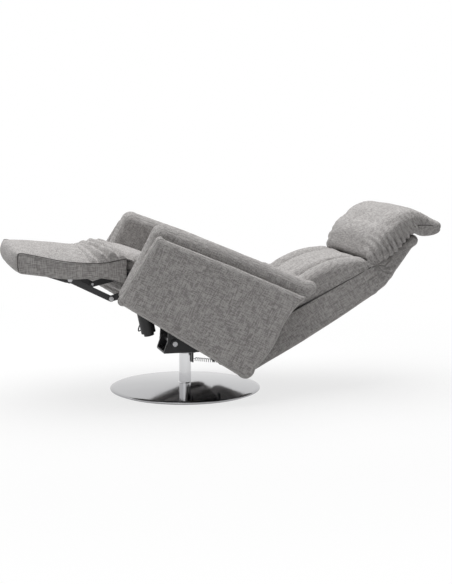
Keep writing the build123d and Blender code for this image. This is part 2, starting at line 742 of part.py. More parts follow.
head_middle = (
    (30, 573), (26, 559), (14, 520), (40, 492), (112, 496), (103, 560), (74, 640, 30, 738),
    (14, 772, -10, 762), (-14, 750), (head_front, 575),
)
head_edge = (
    (42, 573), (38, 559), (24, 520), (44, 500), (98, 500), (88, 560), (60, 634, 20, 722),
    (8, 748, -4, 744), (-8, 736), (head_front + 12, 577),
)
head_shell = padded(stations(-shell_half, shell_half, 24), at_head(head_middle), at_head(head_edge))
under_head = block(-shell_half - 5, shell_half + 5, -60, head_b + 120, head_h - 120, head_h)
under_head -= cylinder_x(head_knuckle, -shell_half - 6, shell_half + 6, head_b, head_h)
head_shell -= under_head
slot = (-60, head_b + 22, head_h - 70, head_h + 70)
swing = (-60, head_b + 70, head_h - 70, head_h - 6)
for low, high in ((head_arm_x - 2, back_side_outer + 2), (-back_side_outer - 2, -head_arm_x + 2)):
    head_shell -= block(low, high, *slot)
    head_shell -= block(low, high, *swing)
board_lean = 20 / (board_high_h - board_low_h)
board_room = slab(-back_side_x - 2, back_side_x + 2, (
    (-60, board_low_h - 4), (head_front + 4 * board_lean, board_low_h - 4),
    (head_front - 20 - 4 * board_lean, board_high_h + 4), (-60, board_high_h + 4),
))
head_shell -= board_room
parts["head_shell"] = back * head_shell.solids().sort_by(SortBy.VOLUME)[-1]

pillow_rear = head_board_front - seat_gap
pillow_rise = board_low_h - head_h + drawn_head_h
pillow_top = pillow_rise + 158
pillow_middle = (
    (pillow_rear, pillow_rise), (pillow_rear - 158 * board_lean, pillow_top), (-18, 768),
    (2, 808, 22, 858), (14, 874, -12, 866), (-58, 846, -100, 810), (-124, 740, -112, 668), (-92, 592, -44, 553),
    (-14, 556, pillow_rear, pillow_rise),
)
pillow_edge = (
    (-18, 606), (-30, pillow_top - 16), (-28, 756), (-6, 800, 8, 840), (4, 850, -12, 844), (-46, 824, -76, 794),
    (-94, 734, -86, 676), (-72, 618, -42, 588), (-28, 590, -18, 606),
)
pillow = padded(stations(-pillow_half, pillow_half, 70), at_head(pillow_middle), at_head(pillow_edge))
parts["headrest_pillow"] = back * pillow

# Gear motors on the crank shaft and the back shaft, control box, lead and switch


def gear_motor(x, u, w, angle, length, reach_u, arm_at):
    turn = math.radians(angle)
    body = cylinder_x(gearbox_radius, x - gearbox_half, x + gearbox_half, u, w - gearbox_drop)
    body += cylinder_x(shaft_radius + 8, x - gearbox_half, x + gearbox_half, u, w)
    first = motor_radius * 1.1
    run = (length + first) / 2
    middle = (u + math.cos(turn) * run, w + math.sin(turn) * run)
    body += Pos(x, *middle) * Rot(angle - 90, 0, 0) * Cylinder(motor_radius, length - first)
    body += block(x - 10, x + 10, min(u, reach_u), max(u, reach_u), arm_at - 6, arm_at + 6)
    cap = (u + math.cos(turn) * (length + 6), w + math.sin(turn) * (length + 6))
    body += Pos(x, *cap) * Rot(angle - 90, 0, 0) * Cylinder(motor_radius * 0.7, 12)
    return body - cylinder_x(shaft_radius + running, x - gearbox_half - 1, x + gearbox_half + 1, u, w)


mid_bar_face = mid_bar_u - bar_radius
rear_bar_face = rear_bar_u + bar_radius
foot_motor = gear_motor(0, crank_u, rail_w, foot_motor_angle, foot_motor_length, mid_bar_face, bar_w)
back_motor = gear_motor(back_motor_x, back_u, rail_w, back_motor_angle, back_motor_length,
                        rear_bar_face, bar_w)
parts["footrest_motor"] = seat * foot_motor
parts["back_motor"] = seat * back_motor

box_right = -85.0
box_left = -185.0
box_front = mid_bar_u - 20
box_top = bar_w - bar_radius
control_box = block(box_left, box_right, box_front, rear_bar_u + 10, box_top - 38, box_top)
control_box = fillet(control_box.edges().filter_by(Axis.Z), 8)
parts["control_box"] = seat * control_box

lead_x = (box_left + box_right) / 2
motor_end = math.radians(foot_motor_angle)
lead_u = crank_u + math.cos(motor_end) * (foot_motor_length - 20)
lead_w = rail_w + math.sin(motor_end) * (foot_motor_length - 20)
lead_points = (
    (-motor_radius, lead_u, lead_w), (-52, lead_u, lead_w - 4), (-70, lead_u - 2, lead_w - 26),
    (-92, lead_u - 4, lead_w - 36), (-114, lead_u - 4, lead_w - 16), (-126, lead_u - 2, lead_w + 24),
    (lead_x + 4, box_front - 26, box_top - 44), (lead_x, box_front - 20, box_top - 24),
    (lead_x, box_front, box_top - 19),
)
radii = []
for before, at, after in zip(lead_points, lead_points[1:], lead_points[2:]):
    first = Vector(*at) - Vector(*before)
    second = Vector(*after) - Vector(*at)
    turn = math.radians(first.get_angle(second))
    radii.append(0.45 * min(first.length, second.length) / math.tan(turn / 2))
print("lead bend radii", [round(r, 1) for r in radii])
lead_path = FilletPolyline(*lead_points, radius=radii)
lead_line = lead_path.wire()
lead_plane = Plane(origin=lead_line @ 0, z_dir=lead_line % 0)
lead = sweep(lead_plane * RegularPolygon(lead_radius, 8), path=lead_line)
parts["motor_lead"] = seat * lead

switch_half = rocker_step / 2 + rocker_length / 2 + 8
switch_face = arm_inner - switch_thick
switch = block(switch_face, arm_inner, switch_u - switch_half, switch_u + switch_half,
               switch_w - rocker_width / 2 - 6, switch_w + rocker_width / 2 + 6)
rocker_x = switch_face + 1.6
for name, sign in (("footrest_rocker", -1), ("back_rocker", 1)):
    u = switch_u + sign * rocker_step / 2
    switch -= block(switch_face - 1, switch_face + 4.6, u - rocker_length / 2 - 0.4,
                    u + rocker_length / 2 + 0.4, switch_w - rocker_width / 2 - 0.4,
                    switch_w + rocker_width / 2 + 0.4)
    rocker = block(rocker_x - rocker_thick / 2, rocker_x + rocker_thick / 2, u - rocker_length / 2,
                   u + rocker_length / 2, switch_w - rocker_width / 2, switch_w + rocker_width / 2)
    rocker -= Pos(switch_face - 15, u, switch_w) * Cylinder(15.6, rocker_width * 2)
    pin = Pos(rocker_x, u, switch_w) * Cylinder(1.0, rocker_width + 4)
    switch -= Pos(rocker_x, u, switch_w) * Cylinder(1.0 + running, rocker_width + 4.4)
    parts[name] = seat * (rocker + pin)
parts["switch_plate"] = seat * switch

os.makedirs("parts", exist_ok=True)
for name, shape in parts.items():
    if isinstance(shape, ShapeList):
        shape = Compound(children=list(shape))
    export_step(shape, f"parts/{name}.step")
print(len(parts), "nodes")
print("axis seat_tilt", 0, tilt_y, tilt_z)
print("axis back_recline", 0, round(back_y, 4), round(back_z, 4))
print("axis footrest_fold", 0, round(knee_y, 4), round(knee_z, 4))
print("axis crank", 0, *[round(v, 4) for v in seat_point(crank_u, rail_w)])
print("axis link", 0, *[round(v, 4) for v in seat_point(*crank_pin)])
turn = math.radians(back_slope)
head_y = back_y + head_b * math.cos(turn) - head_h * math.sin(turn)
head_z = back_z + head_b * math.sin(turn) + head_h * math.cos(turn)
print("axis head_tilt", 0, round(head_y, 4), round(head_z, 4))
for name, sign in (("footrest_rocker", -1), ("back_rocker", 1)):
    spot = seat_point(switch_u + sign * rocker_step / 2, switch_w)
    print("axis", name, rocker_x, *[round(v, 4) for v in spot])
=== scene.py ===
import bpy
import bmesh
import json
import math
from mathutils import Matrix, Vector, noise
from mathutils.bvhtree import BVHTree


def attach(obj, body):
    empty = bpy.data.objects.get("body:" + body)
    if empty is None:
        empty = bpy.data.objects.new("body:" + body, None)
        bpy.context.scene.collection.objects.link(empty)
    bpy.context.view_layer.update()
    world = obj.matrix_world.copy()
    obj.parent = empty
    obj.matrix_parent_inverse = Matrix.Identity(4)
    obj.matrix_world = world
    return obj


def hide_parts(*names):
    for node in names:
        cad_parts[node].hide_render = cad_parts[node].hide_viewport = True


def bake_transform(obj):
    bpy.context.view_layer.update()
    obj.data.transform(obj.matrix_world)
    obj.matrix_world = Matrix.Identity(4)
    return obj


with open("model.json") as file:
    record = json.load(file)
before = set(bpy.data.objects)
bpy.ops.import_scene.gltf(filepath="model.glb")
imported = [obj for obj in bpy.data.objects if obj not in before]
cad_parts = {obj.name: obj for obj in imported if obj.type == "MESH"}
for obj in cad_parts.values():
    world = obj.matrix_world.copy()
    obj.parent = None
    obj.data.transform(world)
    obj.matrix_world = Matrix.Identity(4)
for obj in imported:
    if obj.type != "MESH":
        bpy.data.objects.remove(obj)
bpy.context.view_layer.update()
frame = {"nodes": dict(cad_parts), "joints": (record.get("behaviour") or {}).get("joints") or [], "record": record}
nodes = frame["nodes"]
scene = bpy.context.scene
scene.view_settings.view_transform = "Standard"
print("frame loaded,", len(nodes), "nodes")

# the joints give each section its own origin, and the slopes are those of the lying chair
jointAt = {joint["name"]: Vector(joint["pos_m"]) for joint in frame["joints"]}
seatSlope = math.radians(-26.8)
backSlope = math.radians(-60.6)


def sectionPoint(origin, slope, x, along, up):   # millimetres in a section's own plane, to metres
    y = along * math.cos(slope) - up * math.sin(slope)
    z = along * math.sin(slope) + up * math.cos(slope)
    return origin + Vector((x, y, z)) / 1000


def seatPoint(x, along, up):
    return sectionPoint(jointAt["seat_tilt"], seatSlope, x, along, up)


def backPoint(x, along, up):
    return sectionPoint(jointAt["back_recline"], backSlope, x, along, up)


def footPoint(x, along, up):
    return sectionPoint(jointAt["footrest_fold"], 0.0, x, along, up)


# small tools
def deselectAll():
    if bpy.context.object and bpy.context.object.mode != "OBJECT":
        bpy.ops.object.mode_set(mode="OBJECT")
    bpy.ops.object.select_all(action="DESELECT")


def makeActive(piece):
    deselectAll()
    piece.select_set(True)
    bpy.context.view_layer.objects.active = piece


def applyModifier(piece, kind, **values):
    makeActive(piece)
    modifier = piece.modifiers.new(kind.title(), kind)
    for key, value in values.items():
        setattr(modifier, key, value)
    bpy.ops.object.modifier_apply(modifier=modifier.name)


def inEditMode(piece):
    makeActive(piece)
    bpy.ops.object.mode_set(mode="EDIT")
    bpy.ops.mesh.select_all(action="SELECT")


def tidyMesh(piece, distance=0.00005):
    inEditMode(piece)
    bpy.ops.mesh.remove_doubles(threshold=distance)
    bpy.ops.mesh.normals_make_consistent(inside=False)
    bpy.ops.object.mode_set(mode="OBJECT")


def smoothShade(piece, angle=180):
    makeActive(piece)
    if angle >= 180:
        bpy.ops.object.shade_smooth()
    else:
        bpy.ops.object.shade_smooth_by_angle(angle=math.radians(angle))


def newPiece(name, data):
    piece = bpy.data.objects.new(name, data)
    scene.collection.objects.link(piece)
    return piece


def pointsOf(piece):   # each vertex with its normal, read before any vertex moves
    vertices = piece.data.vertices
    return list(zip(vertices, [vertex.normal.copy() for vertex in vertices]))


def copyOf(node, name):   # a loose copy of a frame solid's mesh, to shape further
    piece = newPiece(name, nodes[node].data.copy())
    piece.data.materials.clear()
    tidyMesh(piece)
    return piece


def mirrored(piece, name):   # the same piece on the chair's other side, with its own mesh
    twin = newPiece(name, piece.data.copy())
    twin.data.transform(Matrix.Scale(-1, 4, (1, 0, 0)))
    twin.data.flip_normals()
    return twin


def lathe(name, outline, steps=128):   # spins (radius, height) points round the swivel axis
    piece = newPiece(name, bpy.data.meshes.new(name))
    work = bmesh.new()
    previous = None
    for radius, height in outline:
        here = work.verts.new((radius, 0, height))
        if previous is not None:
            work.edges.new((previous, here))
        previous = here
    work.to_mesh(piece.data)
    work.free()
    inEditMode(piece)
    bpy.ops.mesh.spin(steps=steps, angle=math.tau, center=(0, 0, 0), axis=(0, 0, 1), dupli=False)
    bpy.ops.mesh.select_all(action="SELECT")
    bpy.ops.mesh.remove_doubles(threshold=0.00002)
    bpy.ops.mesh.normals_make_consistent(inside=False)
    bpy.ops.object.mode_set(mode="OBJECT")
    return piece


# finishes
def newFinish(name, colour, roughness, metallic=0.0):
    finish = bpy.data.materials.new(name)
    finish.use_nodes = True
    shader = finish.node_tree.nodes["Principled BSDF"]
    shader.inputs["Base Color"].default_value = (*colour, 1)
    shader.inputs["Roughness"].default_value = roughness
    shader.inputs["Metallic"].default_value = metallic
    return finish, finish.node_tree, shader


def addNode(tree, kind, **values):
    node = tree.nodes.new(kind)
    for key, value in values.items():
        setattr(node, key, value)
    return node


def ramp(tree, source, low, high, lowColour, highColour):
    join = tree.links.new
    span = addNode(tree, "ShaderNodeMapRange")
    span.inputs["From Min"].default_value = low
    span.inputs["From Max"].default_value = high
    join(source, span.inputs["Value"])
    mixer = addNode(tree, "ShaderNodeValToRGB")
    mixer.color_ramp.elements[0].color = (*lowColour, 1)
    mixer.color_ramp.elements[1].color = (*highColour, 1)
    join(span.outputs["Result"], mixer.inputs["Fac"])
    return mixer.outputs["Color"]


weave = {
    "dark": (0.245, 0.233, 0.227),
    "light": (0.460, 0.443, 0.434),
    "slubLength": 48.0,      # per metre, so lower is longer
    "slubWidth": 380.0,
    "thread": 1250.0,
    "threadDepth": 0.15,     # as a share of the slubs' depth
    "cloud": 26.0,
    "cloudDepth": 0.16,
    "low": -0.16,            # the noise at the dark and the light end
    "high": 0.34,
    "bump": 0.35,
    "relief": 0.0014,
    "sheen": 0.10,
}


def weaveFinish(name, slope):   # melange cloth, with slubs along the threads that lie in each face
    finish, tree, shader = newFinish(name, (0.30, 0.29, 0.285), 0.92)
    join = tree.links.new
    shader.inputs["Sheen Weight"].default_value = weave["sheen"]
    shader.inputs["Sheen Roughness"].default_value = 0.6
    place = addNode(tree, "ShaderNodeTexCoord")
    turned = addNode(tree, "ShaderNodeMapping")
    turned.inputs["Rotation"].default_value = (-slope, 0, 0)
    join(place.outputs["Object"], turned.inputs["Vector"])
    facing = addNode(tree, "ShaderNodeMapping", vector_type="VECTOR")
    facing.inputs["Rotation"].default_value = (-slope, 0, 0)
    join(place.outputs["Normal"], facing.inputs["Vector"])
    squared = addNode(tree, "ShaderNodeVectorMath", operation="MULTIPLY")
    join(facing.outputs["Vector"], squared.inputs[0])
    join(facing.outputs["Vector"], squared.inputs[1])
    parts = addNode(tree, "ShaderNodeSeparateXYZ")
    join(squared.outputs["Vector"], parts.inputs["Vector"])
    total = None
    for axis in range(3):
        stretch = addNode(tree, "ShaderNodeMapping")
        scale = [weave["slubWidth"]] * 3
        scale[axis] = weave["slubLength"]
        stretch.inputs["Scale"].default_value = scale
        stretch.inputs["Location"].default_value = (3.1 * axis, 5.7 * axis, 1.3 * axis)
        join(turned.outputs["Vector"], stretch.inputs["Vector"])
        grain = addNode(tree, "ShaderNodeTexNoise")
        grain.inputs["Scale"].default_value = 1.0
        grain.inputs["Detail"].default_value = 0.0
        join(stretch.outputs["Vector"], grain.inputs["Vector"])
        centred = addNode(tree, "ShaderNodeMath", operation="SUBTRACT")
        join(grain.outputs["Fac"], centred.inputs[0])
        centred.inputs[1].default_value = 0.5
        inFace = addNode(tree, "ShaderNodeMath", operation="SUBTRACT", use_clamp=True)
        inFace.inputs[0].default_value = 1.0
        join(parts.outputs[axis], inFace.inputs[1])
        part = addNode(tree, "ShaderNodeMath", operation="MULTIPLY")
        join(centred.outputs[0], part.inputs[0])
        join(inFace.outputs[0], part.inputs[1])
        if total is None:
            total = part.outputs[0]
        else:
            joined = addNode(tree, "ShaderNodeMath", operation="ADD")
            join(total, joined.inputs[0])
            join(part.outputs[0], joined.inputs[1])
            total = joined.outputs[0]
    patch = addNode(tree, "ShaderNodeTexNoise")
    patch.inputs["Scale"].default_value = weave["cloud"]
    join(turned.outputs["Vector"], patch.inputs["Vector"])
    cloudy = addNode(tree, "ShaderNodeMath", operation="MULTIPLY_ADD")
    join(patch.outputs["Fac"], cloudy.inputs[0])
    cloudy.inputs[1].default_value = weave["cloudDepth"]
    join(total, cloudy.inputs[2])
    cloth = ramp(tree, cloudy.outputs[0], weave["low"], weave["high"], weave["dark"], weave["light"])
    join(cloth, shader.inputs["Base Color"])
    fine = addNode(tree, "ShaderNodeTexVoronoi")
    fine.inputs["Scale"].default_value = weave["thread"]
    join(turned.outputs["Vector"], fine.inputs["Vector"])
    height = addNode(tree, "ShaderNodeMath", operation="MULTIPLY_ADD")
    join(fine.outputs["Distance"], height.inputs[0])
    height.inputs[1].default_value = weave["threadDepth"]
    join(total, height.inputs[2])
    bump = addNode(tree, "ShaderNodeBump")
    bump.inputs["Strength"].default_value = weave["bump"]
    bump.inputs["Distance"].default_value = weave["relief"]
    join(height.outputs[0], bump.inputs["Height"])
    join(bump.outputs["Normal"], shader.inputs["Normal"])
    return finish


def grainedFinish(name, colour, roughness, metallic, scale, depth, vary=0.25):   # uneven colour and gloss
    finish, tree, shader = newFinish(name, colour, roughness, metallic)
    join = tree.links.new
    place = addNode(tree, "ShaderNodeTexCoord").outputs["Object"]
    grain = addNode(tree, "ShaderNodeTexNoise")
    grain.inputs["Scale"].default_value = scale
    grain.inputs["Detail"].default_value = 3.0
    join(place, grain.inputs["Vector"])
    lowColour = tuple(part * (1 - vary) for part in colour)
    highColour = tuple(min(1.0, part * (1 + vary)) for part in colour)
    tint = ramp(tree, grain.outputs["Fac"], 0.35, 0.65, lowColour, highColour)
    join(tint, shader.inputs["Base Color"])
    worn = addNode(tree, "ShaderNodeMapRange")
    worn.inputs["To Min"].default_value = max(0.02, roughness - 0.08)
    worn.inputs["To Max"].default_value = min(1.0, roughness + 0.08)
    join(grain.outputs["Fac"], worn.inputs["Value"])
    join(worn.outputs["Result"], shader.inputs["Roughness"])
    bump = addNode(tree, "ShaderNodeBump")
    bump.inputs["Strength"].default_value = 0.4
    bump.inputs["Distance"].default_value = depth
    join(grain.outputs["Fac"], bump.inputs["Height"])
    join(bump.outputs["Normal"], shader.inputs["Normal"])
    return finish


seatCloth = weaveFinish("seatCloth", seatSlope)
backCloth = weaveFinish("backCloth", backSlope)
footCloth = weaveFinish("footCloth", 0.0)
# near-black welt finish: painted shade that darkens the creases along the seams
seamPaintedShade = grainedFinish("seamPaintedShade", (0.085, 0.082, 0.08), 0.9, 0.0, 900.0, 0.0004)
seamThread = grainedFinish("seamThread", (0.50, 0.49, 0.475), 0.8, 0.0, 900.0, 0.0004)
polishedChrome = grainedFinish("polishedChrome", (0.70, 0.70, 0.71), 0.09, 1.0, 9.0, 0.00002, 0.02)
# a darker copy of the polished chrome: painted shade that stands for the darker surroundings the disc mirrors
discChromePaintedShade = grainedFinish("discChromePaintedShade", (0.38, 0.38, 0.39), 0.10, 1.0, 9.0, 0.00002, 0.02)
blackCoat = grainedFinish("blackCoat", (0.022, 0.022, 0.024), 0.45, 0.0, 700.0, 0.0002)
zincSteel = grainedFinish("zincSteel", (0.42, 0.42, 0.43), 0.3, 1.0, 260.0, 0.0001)
springWire = grainedFinish("springWire", (0.16, 0.16, 0.165), 0.32, 1.0, 300.0, 0.0001)
blackShell = grainedFinish("blackShell", (0.018, 0.018, 0.019), 0.5, 0.0, 1200.0, 0.0001)
leadSkin = grainedFinish("leadSkin", (0.015, 0.015, 0.016), 0.55, 0.0, 500.0, 0.0001)
bushPlastic = grainedFinish("bushPlastic", (0.62, 0.60, 0.55), 0.5, 0.0, 400.0, 0.0001, 0.08)
floorFelt = grainedFinish("floorFelt", (0.06, 0.06, 0.06), 0.95, 0.0, 1500.0, 0.0006)
beltRubber = grainedFinish("beltRubber", (0.05, 0.045, 0.04), 0.8, 0.0, 900.0, 0.0006)
linedBoard = grainedFinish("linedBoard", (0.050, 0.049, 0.050), 0.9, 0.0, 700.0, 0.0004)

finishOf = {
    "floor_felt": floorFelt, "chrome": polishedChrome, "bright_steel": zincSteel, "spring_steel": springWire,
    "bush_plastic": bushPlastic, "black_steel": blackCoat, "webbing": beltRubber, "board": linedBoard,
    "black_plastic": blackShell, "lead_sheath": leadSkin, "grey_fabric": seatCloth,
}
for entry in frame["record"]["subparts"]:
    nodes[entry["node"]].data.materials.clear()
    nodes[entry["node"]].data.materials.append(finishOf[entry["material_slot"]])
print("finishes made")


# padded pieces
coverCloth = {"stiffness": 15, "quality": 4, "steps": 20}


def swell(piece, pad):   # blows the pad up inside its cover, and holds each point near its start
    start = [(vertex.co.copy(), vertex.normal.copy()) for vertex in piece.data.vertices]
    makeActive(piece)
    cloth = piece.modifiers.new("Cover", "CLOTH")
    cloth.settings.use_pressure = True
    cloth.settings.uniform_pressure_force = pad["pressure"]
    cloth.settings.effector_weights.gravity = 0
    cloth.settings.tension_stiffness = coverCloth["stiffness"]
    cloth.settings.compression_stiffness = coverCloth["stiffness"]
    cloth.settings.quality = coverCloth["quality"]
    cloth.collision_settings.use_collision = False
    for step in range(1, coverCloth["steps"] + 1):
        scene.frame_set(step)
    bpy.ops.object.modifier_apply(modifier=cloth.name)
    scene.frame_set(1)
    for vertex, (before, outward) in zip(piece.data.vertices, start):
        move = vertex.co - before
        limit = pad["cap"] if move.dot(outward) > 0 else pad.get("sink", pad["cap"])
        if move.length > limit:
            vertex.co = before + move * (limit / move.length)


def uneven(piece, depth, wave, seed):   # hand-worked unevenness, the same on every run
    for vertex, normal in pointsOf(piece):
        spot = vertex.co / wave + Vector((seed, seed * 0.7, -seed))
        vertex.co += normal * depth * noise.noise(spot)


def pullFolds(piece, folds):   # gathers and creases: ripples across a line, fading with distance
    points = pointsOf(piece)
    for fold in folds:
        middle, run, across = fold["middle"], fold["run"].normalized(), fold["across"].normalized()
        for vertex, normal in points:
            away = vertex.co - middle
            alongLine, overLine = away.dot(run), away.dot(across)
            fade = math.exp(-(alongLine / fold["length"]) ** 2 - (overLine / fold["spread"]) ** 2)
            depthAway = away - run * alongLine - across * overLine
            fade *= math.exp(-(depthAway.length / fold["reach"]) ** 2)
            if fade > 0.01:
                drift = noise.noise(vertex.co * 14) * fold["drift"]
                wave = math.cos(math.tau * overLine / fold["pitch"] + drift)
                vertex.co += normal * fold["depth"] * fade * wave


def pinchFolds(piece, middle, count, depth, reach):   # creases that run out from one sewn point
    for vertex, normal in pointsOf(piece):
        away = vertex.co - middle
        if away.length < reach * 2.2:
            angle = math.atan2(away.z, away.y) + noise.noise(vertex.co * 22) * 0.35
            fade = math.exp(-(away.length / reach) ** 2) * min(1.0, away.length / (reach * 0.25))
            vertex.co += normal * depth * fade * math.cos(count * angle)


def pressSeam(piece, point, normal, width, depth):   # draws the cover in along a sewn line
    flat = normal.normalized()
    for vertex, outward in pointsOf(piece):
        away = (vertex.co - point).dot(flat)
        if abs(away) < width * 3:
            vertex.co -= outward * depth * math.exp(-(away / width) ** 2)


def pressLine(piece, spots, facing, width, depth):   # a crease along a line of spots on one face
    for vertex, normal in pointsOf(piece):
        if normal.dot(facing) < 0.6:
            continue
        nearest = 1.0
        for a, b in zip(spots, spots[1:]):
            run = b - a
            share = max(0.0, min(1.0, (vertex.co - a).dot(run) / run.length_squared))
            away = vertex.co - a - run * share
            nearest = min(nearest, (away - facing * away.dot(facing)).length)
        vertex.co -= facing * depth * math.exp(-(nearest / width) ** 2)


def puffOut(piece, spot, axis, radius, depth):   # fills the cover round a spot, or a line along axis
    for vertex, normal in pointsOf(piece):
        away = vertex.co - spot
        if axis:
            away -= axis * away.dot(axis)
        vertex.co += normal * depth * math.exp(-(away.length / radius) ** 2)


def clothFrom(name, rows):   # a quad mesh through rows of spots
    work = bmesh.new()
    grid = [[work.verts.new(spot) for spot in row] for row in rows]
    for before, after in zip(grid, grid[1:]):
        for k in range(len(before) - 1):
            work.faces.new((before[k], before[k + 1], after[k + 1], after[k]))
    piece = newPiece(name, bpy.data.meshes.new(name))
    work.to_mesh(piece.data)
    work.free()
    tidyMesh(piece)
    return piece


def thicken(piece, cloth, finish, offset=0):   # gives a sheet its thickness, a finer mesh and its cloth
    applyModifier(piece, "SOLIDIFY", thickness=cloth["thickness"], offset=offset)
    applyModifier(piece, "SUBSURF", levels=1, render_levels=1)
    smoothShade(piece)
    piece.data.materials.append(finish)


def profileAt(points, share):   # a smooth run through the points, by Catmull-Rom
    spot = share * (len(points) - 1)
    start = min(int(spot), len(points) - 2)
    t = spot - start
    p = [Vector(points[max(0, min(len(points) - 1, start + k))]) for k in (-1, 0, 1, 2)]
    return (p[1] * 2 + (p[2] - p[0]) * t + (p[0] * 2 - p[1] * 5 + p[2] * 4 - p[3]) * t ** 2
            + (p[1] * 3 - p[0] - p[2] * 3 + p[3]) * t ** 3) / 2


def smoothLine(name, spots, radius):   # an open tube on one smooth line through control spots
    line = bpy.data.curves.new(name, "CURVE")
    line.dimensions = "3D"
    line.bevel_depth = radius
    line.bevel_resolution = 3
    line.resolution_u = 12
    line.use_fill_caps = True
    spline = line.splines.new("NURBS")
    spline.points.add(len(spots) - 1)
    for point, spot in zip(spline.points, spots):
        point.co = (*spot, 1)
    spline.order_u = 3
    spline.use_endpoint_u = True
    return newPiece(name, line)


def weltAlong(name, spots, radius, finish):   # a sewn welt, as a mesh
    welt = smoothLine(name, spots, radius)
    makeActive(welt)
    bpy.ops.object.convert(target="MESH")
    smoothShade(welt)
    welt.data.materials.append(finish)
    return welt


def clothSize(piece):   # square metres of one side, before it gets its thickness
    return sum(polygon.area for polygon in piece.data.polygons)


def sewnLine(name, piece, point, normal, radius, finish):   # a welt on the cover where a plane cuts it
    line = newPiece(name, piece.data.copy())
    line.data.materials.clear()
    inEditMode(line)
    bpy.ops.mesh.bisect(plane_co=point, plane_no=normal, use_fill=False, clear_inner=True, clear_outer=True)
    bpy.ops.object.mode_set(mode="OBJECT")
    tidyMesh(line, 0.0012)
    makeActive(line)
    bpy.ops.object.convert(target="CURVE")
    line.data.bevel_depth = radius
    line.data.bevel_resolution = 2
    makeActive(line)
    bpy.ops.object.convert(target="MESH")
    tidyMesh(line)
    smoothShade(line)
    line.data.materials.clear()
    line.data.materials.append(finish)
    return line


def padOver(name, node, pad, finish):   # a padded piece in the space of the solid that it stands for
    piece = copyOf(node, name)
    applyModifier(piece, "REMESH", mode="VOXEL", voxel_size=pad["voxel"])
    applyModifier(piece, "SMOOTH", factor=0.5, iterations=pad.get("soften", 6))
    if pad.get("shrink"):
        for vertex, normal in pointsOf(piece):
            vertex.co -= normal * pad["shrink"]
    if pad.get("pressure"):
        swell(piece, pad)
    uneven(piece, pad.get("uneven", 0.0012), pad.get("wave", 0.07), pad.get("seed", 1.0))
    if pad.get("folds"):
        pullFolds(piece, pad["folds"])
    for middle, count, depth, reach in pad.get("pinches", ()):
        pinchFolds(piece, middle, count, depth, reach)
    for spot, axis, radius, depth in pad.get("puffs", ()):
        puffOut(piece, spot, axis, radius, depth)
    for point, normal, width, depth in pad.get("seams", ()):
        pressSeam(piece, point, normal, width, depth)
    if pad.get("finer", True):
        applyModifier(piece, "SUBSURF", levels=1, render_levels=1)
    smoothShade(piece)
    piece.data.materials.clear()
    piece.data.materials.append(finish)
    return piece


def dress(piece, body, fill, *stoodFor):   # a finished pad rides its body and stands for its solid
    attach(piece, body)
    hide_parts(*stoodFor)


def trim(piece, body):
    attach(piece, body)


seatAlong = seatPoint(0, 1000, 0) - seatPoint(0, 0, 0)
seatUp = seatPoint(0, 0, 1000) - seatPoint(0, 0, 0)
backAlong = backPoint(0, 1000, 0) - backPoint(0, 0, 0)
backUp = backPoint(0, 0, 1000) - backPoint(0, 0, 0)
side = Vector((1, 0, 0))
bothSides = (("Left", 1), ("Right", -1))

# seat cushion
seatPad = {
    "voxel": 0.008, "shrink": 0.004, "pressure": 4.0, "cap": 0.010, "seed": 2.0, "uneven": 0.002,
    "wave": 0.09, "seams": [(seatPoint(0, 0, 222), seatUp, 0.006, 0.004)], "welt": 0.0016,
    "puffs": [(seatPoint(0, -404, 240), side, 0.055, -0.016)],
}
seatCushion = padOver("seatCushion", "seat_cushion", seatPad, seatCloth)
dress(seatCushion, "seat", 0.7, "seat_cushion")
seatSeam = sewnLine("seatSeam", seatCushion, seatPoint(0, 0, 222), seatUp, seatPad["welt"], seamThread)
trim(seatSeam, "seat")
print("seat cushion done")

# arms: pad inside, panel outside, both made once and mirrored
armPad = {
    "voxel": 0.007, "shrink": 0.003, "pressure": 4.0, "cap": 0.006, "seed": 3.0, "uneven": 0.0015,
    "welt": 0.0014, "weltsAt": (("Inner", 264), ("Outer", 327)),
    "puffs": [(seatPoint(320, 335, 445), None, 0.040, 0.014)],
    "folds": [{
        "middle": seatPoint(295, -332, 300), "run": seatAlong, "across": seatUp, "length": 0.03,
        "spread": 0.07, "pitch": 0.017, "depth": 0.0011, "reach": 0.06, "drift": 1.5,
    }],
}
armPadLeft = padOver("armPadLeft", "arm_pad_left", armPad, seatCloth)
armPadRight = mirrored(armPadLeft, "armPadRight")
dress(armPadLeft, "seat", 0.8, "arm_pad_left")
dress(armPadRight, "seat", 0.8, "arm_pad_right")
for label, piece, sign in (("Left", armPadLeft, 1), ("Right", armPadRight, -1)):
    for inward, x in armPad["weltsAt"]:
        seam = sewnLine("armSeam" + inward + label, piece, seatPoint(sign * x, 0, 0), side,
                        armPad["welt"], seamThread)
        trim(seam, "seat")

armPanel = {
    "voxel": 0.006, "shrink": 0.0015, "pressure": 2.0, "cap": 0.004, "soften": 4, "seed": 4.0,
    "uneven": 0.0012, "wave": 0.12,
    "creaseWidth": 0.008, "creaseDepth": 0.0045, "face": 383, "welt": 0.0016, "weltAt": 377,
    "crease": [(-236, 192), (-190, 250), (-135, 286), (-62, 309), (35, 330)],
}
armPanelLeft = padOver("armPanelLeft", "arm_panel_left", armPanel, seatCloth)
creaseSpots = [seatPoint(armPanel["face"], along, up) for along, up in armPanel["crease"]]
pressLine(armPanelLeft, creaseSpots, side, armPanel["creaseWidth"], armPanel["creaseDepth"])
armPanelRight = mirrored(armPanelLeft, "armPanelRight")
dress(armPanelLeft, "seat", 0.9, "arm_panel_left")
dress(armPanelRight, "seat", 0.9, "arm_panel_right")
for label, piece, sign in (("Left", armPanelLeft, 1), ("Right", armPanelRight, -1)):
    seam = sewnLine("panelSeam" + label, piece, seatPoint(sign * armPanel["weltAt"], 0, 0), side,
                    armPanel["welt"], seamThread)
    trim(seam, "seat")
print("arms done")

